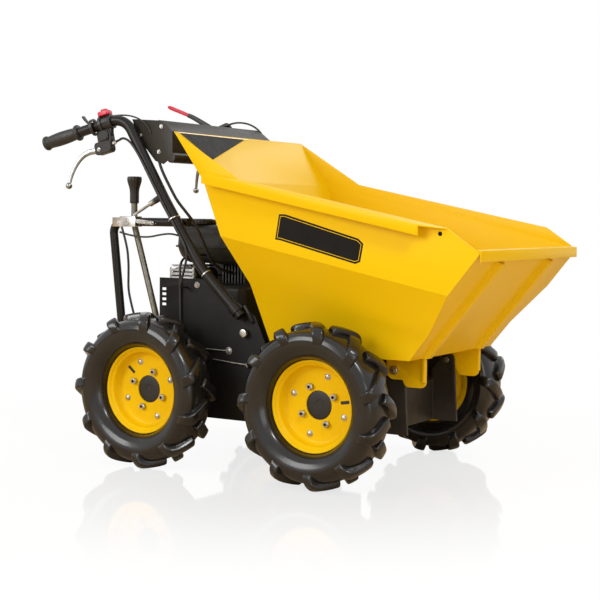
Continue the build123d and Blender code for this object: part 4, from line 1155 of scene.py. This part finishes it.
def make_case_dress():
    """Bolts and a ribbed cover on the crankcase's back."""
    low, high, middle = box_of("engine_block")
    case = Shape()
    for across in (-0.085, 0.0, 0.085):
        for height in (low[2] + 0.02, high[2] - 0.018):
            case.bolt((low[0], across, height), BACK, 0.0052)
    case.bolt((low[0], -0.045, low[2] + 0.02), BACK, 0.008, height=0.01)
    case.build("case_bolts", "zinc")
    cover = Shape().plate(CASE_COVER, 0.02, 0.0015, (low[0] - 0.0026, 0.0, middle[2] - 0.002), BACK, LEFT)
    for number in range(5):
        place = (low[0] - 0.007, 0.0, middle[2] - 0.034 + CASE_RIB_STEP * number)
        cover.plate(CASE_RIB, 0.002, 0.0012, place, BACK, LEFT)
    cover.build("case_cover", "engine_cast")


FILLER_LINE = [
    (0.0, 0.0), (0.013, 0.0), (0.016, 0.002), (0.0165, 0.006), (0.0165, 0.012), (0.0145, 0.0145),
    (0.0, 0.0145),
]
LID_OUTLINE = rounded_rectangle(0.0765, 0.1025, 0.01)
LID_THICKNESS, LID_EDGE = 0.0032, 0.0006
VANE = (0.0022, 0.012, 0.002)
VANE_STEP = 0.012


def make_filter_and_plugs():
    """The oil filler's fluted plug, and the air filter's lid and vanes."""
    low = box_of("engine_block")[0]
    filler = (low[0] - 0.001, 0.072, low[2] + 0.052)
    plugs = Shape().turned(FILLER_LINE, filler, (-1, 0, 0.25), 60, flutes=12, depth=0.1)
    low, _, middle = box_of("air_filter")
    lid = prism(LID_OUTLINE, 0, LID_THICKNESS, LID_EDGE)
    plugs.loft(placed(lid, (middle[0], middle[1], low[2] + 0.03), UP))
    for number in range(6):
        place = (low[0] - 0.0005, middle[1] - 0.03 + VANE_STEP * number, low[2] + 0.015)
        plugs.plate(VANE, 0.0009, 0.0004, place, BACK, LEFT)
    plugs.build("filter_and_plugs", "black_plastic")


CARBURETTOR = (0.032, 0.036, 0.034)
BOWL_LINE = [(0.0, 0.0), (0.012, 0.0), (0.014, 0.003), (0.014, 0.015), (0.0, 0.015)]
SEAM_OUTLINE = rounded_rectangle(0.0872, 0.1232, 0.01)
SEAM_THICKNESS, SEAM_EDGE = 0.0038, 0.0008
OUTLET_LINE = [(0.0, 0.0), (0.01, 0.0), (0.01, 0.016), (0.0082, 0.016), (0.0082, 0.003), (0.0, 0.003)]


def make_castings():
    """The carburettor with its two bowls, and the muffler's seam and outlet."""
    carburettor = Shape().plate(CARBURETTOR, 0.008, 0.002, (-0.2365, 0.045, 0.496), UP)
    carburettor.turned(BOWL_LINE, (-0.2365, 0.045, 0.472), UP)
    carburettor.turned(BOWL_LINE, (-0.245, 0.018, 0.493), RIGHT)
    carburettor.build("carburettor", "engine_cast")
    low, _, middle = box_of("muffler")
    seam = prism(SEAM_OUTLINE, 0, SEAM_THICKNESS, SEAM_EDGE)
    muffler = Shape().loft(placed(seam, (middle[0], middle[1], middle[2] - 0.002), UP))
    muffler.turned(OUTLET_LINE, (low[0] + 0.002, middle[1] - 0.028, middle[2] - 0.01), (-1, 0, -0.2))
    muffler.build("muffler_trim", "engine_cast")


make_case_dress()
make_filter_and_plugs()
make_castings()

# Bolts on the chassis, the console and the skip's pins
RAIL_BOLTS = (-0.42, -0.33)
CONSOLE_BOLTS = ((-0.362, 0.59), (-0.3, 0.545), (-0.292, 0.612))
_, pin_high, pin_middle = box_of("skip_pivot_pins")
frame_bolts = Shape()
for side in SIDES.values():
    for along in RAIL_BOLTS:
        frame_bolts.bolt(at_rail((along, 0.22, 0.0), side), UP, 0.0056)
    for along, height in CONSOLE_BOLTS:
        frame_bolts.bolt(at_rail((along, 0.2362, height), side), (0, side, 0), 0.004)
    frame_bolts.bolt((pin_middle[0], side * pin_high[1], pin_middle[2]), (0, side, 0), 0.0068, height=0.006)
frame_bolts.build("frame_bolts", "zinc")


# Blank patch and trim line inside the headboard, and black discs near the flange's front that are painted
# shade of round holes
# columns: place across and height, round each layer
PATCH = [(-0.001, 0.868), (-0.217, 0.804), (-0.29, 0.87)]
TRIM = [(-0.3, 0.8722), (0.02, 0.8697), (0.02, 0.869), (-0.3, 0.8715)]
HEADBOARD_LAYERS = [
    ("headboard_patch", PATCH, 0.0007, "label_and_shade_black"),
    ("headboard_trim", TRIM, 0.0009, "zinc"),
]
HEADBOARD_TOP = (-0.1945, 0.874)
HEADBOARD_RUN = 0.74  # along the machine for each metre down
HEADBOARD_SKIN = 0.0036  # from the profile's line to the inner face, along the machine


def on_headboard(points, lift):
    """Places across and up, laid on the headboard's inner face and lifted off it."""
    points = np.asarray(points, float)
    along = HEADBOARD_TOP[0] + (HEADBOARD_TOP[1] - points[:, 1]) * HEADBOARD_RUN + HEADBOARD_SKIN
    face = unit((1, 0, HEADBOARD_RUN))
    return np.column_stack([along, points]) + face * lift


for name, outline, thickness, finish in HEADBOARD_LAYERS:
    layer = [on_headboard(outline, lift) for lift in (0.0, thickness)]
    Shape().loft(np.array(layer)).build(name, finish, "skip")
# Each hole is a thin black disc on the flange, not an opening: the dark inside the hole is painted shade
HOLE_PLACE = (0.566, 0.3098, 0.623)
HOLE_LINE = [(0.0, 0.0), (0.0052, 0.0), (0.0052, 0.0006), (0.0, 0.0006)]
for side_name, side in SIDES.items():
    hole = Shape().turned(HOLE_LINE, HOLE_PLACE * np.array([1, side, 1]), (0, side, 0), 28)
    hole.build(f"flange_hole_shade_{side_name}", "label_and_shade_black", "skip")


# Floor and light
FLOOR_HALF = 30.0
FLOOR_COLOUR = (0.97, 0.97, 0.965)
FLOOR_BOUNCE = (0.8, 0.62, 0.42)  # its colour for light that it throws up
FLOOR_WHITE = 0.92
FLOOR_GLOSS = 0.17
WORLD_LEVEL = 0.56
WORLD_TINT = (1.0, 0.91, 0.8)


def make_floor():
    """A white table that mirrors the machine faintly near it and is plain white further out."""
    mesh = bpy.data.meshes.new("floor")
    corners = [(x * FLOOR_HALF, y * FLOOR_HALF, 0) for x, y in ((-1, -1), (1, -1), (1, 1), (-1, 1))]
    mesh.from_pydata(corners, [], [(0, 1, 2, 3)])
    floor = added("floor", mesh)
    finish = Finish("floor", Roughness=0.6, Specular_IOR_Level=0.0)
    seen = finish.node("ShaderNodeLightPath", output="Is Camera Ray")
    finish.set(Base_Color=finish.mix(seen, FLOOR_BOUNCE, FLOOR_COLOUR))
    surface = Value(finish, finish.shader.outputs[0])
    where = finish.node("ShaderNodeTexCoord", output="Object")
    away = finish.node("ShaderNodeVectorMath", {"operation": "LENGTH"}, {0: where}, output="Value")
    plain = finish.node("ShaderNodeEmission", None, {"Color": (1, 1, 1), "Strength": 1.0})
    white_share = (away.above(1.3, softness=0.7) * (1 - FLOOR_WHITE) + FLOOR_WHITE) * seen
    white = finish.node("ShaderNodeMixShader", None, {0: white_share, 1: surface, 2: plain})
    gloss = finish.node("ShaderNodeBsdfGlossy", None, {"Color": (1, 1, 1), "Roughness": 0.05})
    gloss_share = (1 - away.above(0.85, softness=0.42)) * FLOOR_GLOSS * seen
    whole = finish.node("ShaderNodeMixShader", None, {0: gloss_share, 1: white, 2: gloss})
    finish.feed(finish.tree.nodes["Material Output"].inputs["Surface"], whole)
    mesh.materials.append(finish.material)


def make_world():
    """Pure white to the camera and to reflections, and a plain soft warm level as light."""
    world = bpy.data.worlds.new("studio")
    world.use_nodes = True
    bpy.context.scene.world = world
    tree = world.node_tree
    shade = tree.nodes["Background"]
    path = tree.nodes.new("ShaderNodeLightPath")
    rays = [path.outputs[n] for n in ("Is Camera Ray", "Is Glossy Ray", "Is Transmission Ray")]
    total = rays[0]
    for ray in rays[1:]:
        either = tree.nodes.new("ShaderNodeMath")
        either.operation = "MAXIMUM"
        tree.links.new(total, either.inputs[0])
        tree.links.new(ray, either.inputs[1])
        total = either.outputs[0]
    level = tree.nodes.new("ShaderNodeMapRange")
    tree.links.new(total, level.inputs["Value"])
    level.inputs["To Min"].default_value = WORLD_LEVEL
    level.inputs["To Max"].default_value = 1.0
    tint = tree.nodes.new("ShaderNodeMix")
    tint.data_type = "RGBA"
    tree.links.new(total, tint.inputs[0])
    tint.inputs[6].default_value = (*WORLD_TINT, 1)
    tint.inputs[7].default_value = (1, 1, 1, 1)
    tree.links.new(tint.outputs[2], shade.inputs["Color"])
    tree.links.new(level.outputs[0], shade.inputs["Strength"])


# columns: place, size in metres and watts
SOFT_BOXES = [
    ((-1.8, -3.8, 2.2), 2.0, 88),
    ((2.4, -1.7, 3.0), 0.7, 40),
    ((2.9, -2.6, 0.9), 1.4, 14),
    ((0.6, 3.0, 3.4), 2.2, 50),
]


def make_lights():
    """Square soft boxes that face the middle of the machine."""
    for number, (place, size, watts) in enumerate(SOFT_BOXES):
        data = bpy.data.lights.new(f"soft_box_{number}", "AREA")
        data.size = size
        data.energy = watts
        lamp = added(data.name, data)
        lamp.location = place
        lamp.rotation_euler = (CAMERA_TARGET - Vector(place)).to_track_quat("-Z", "Y").to_euler()


make_floor()
make_world()
make_lights()
bpy.context.scene.view_settings.view_transform = "Standard"
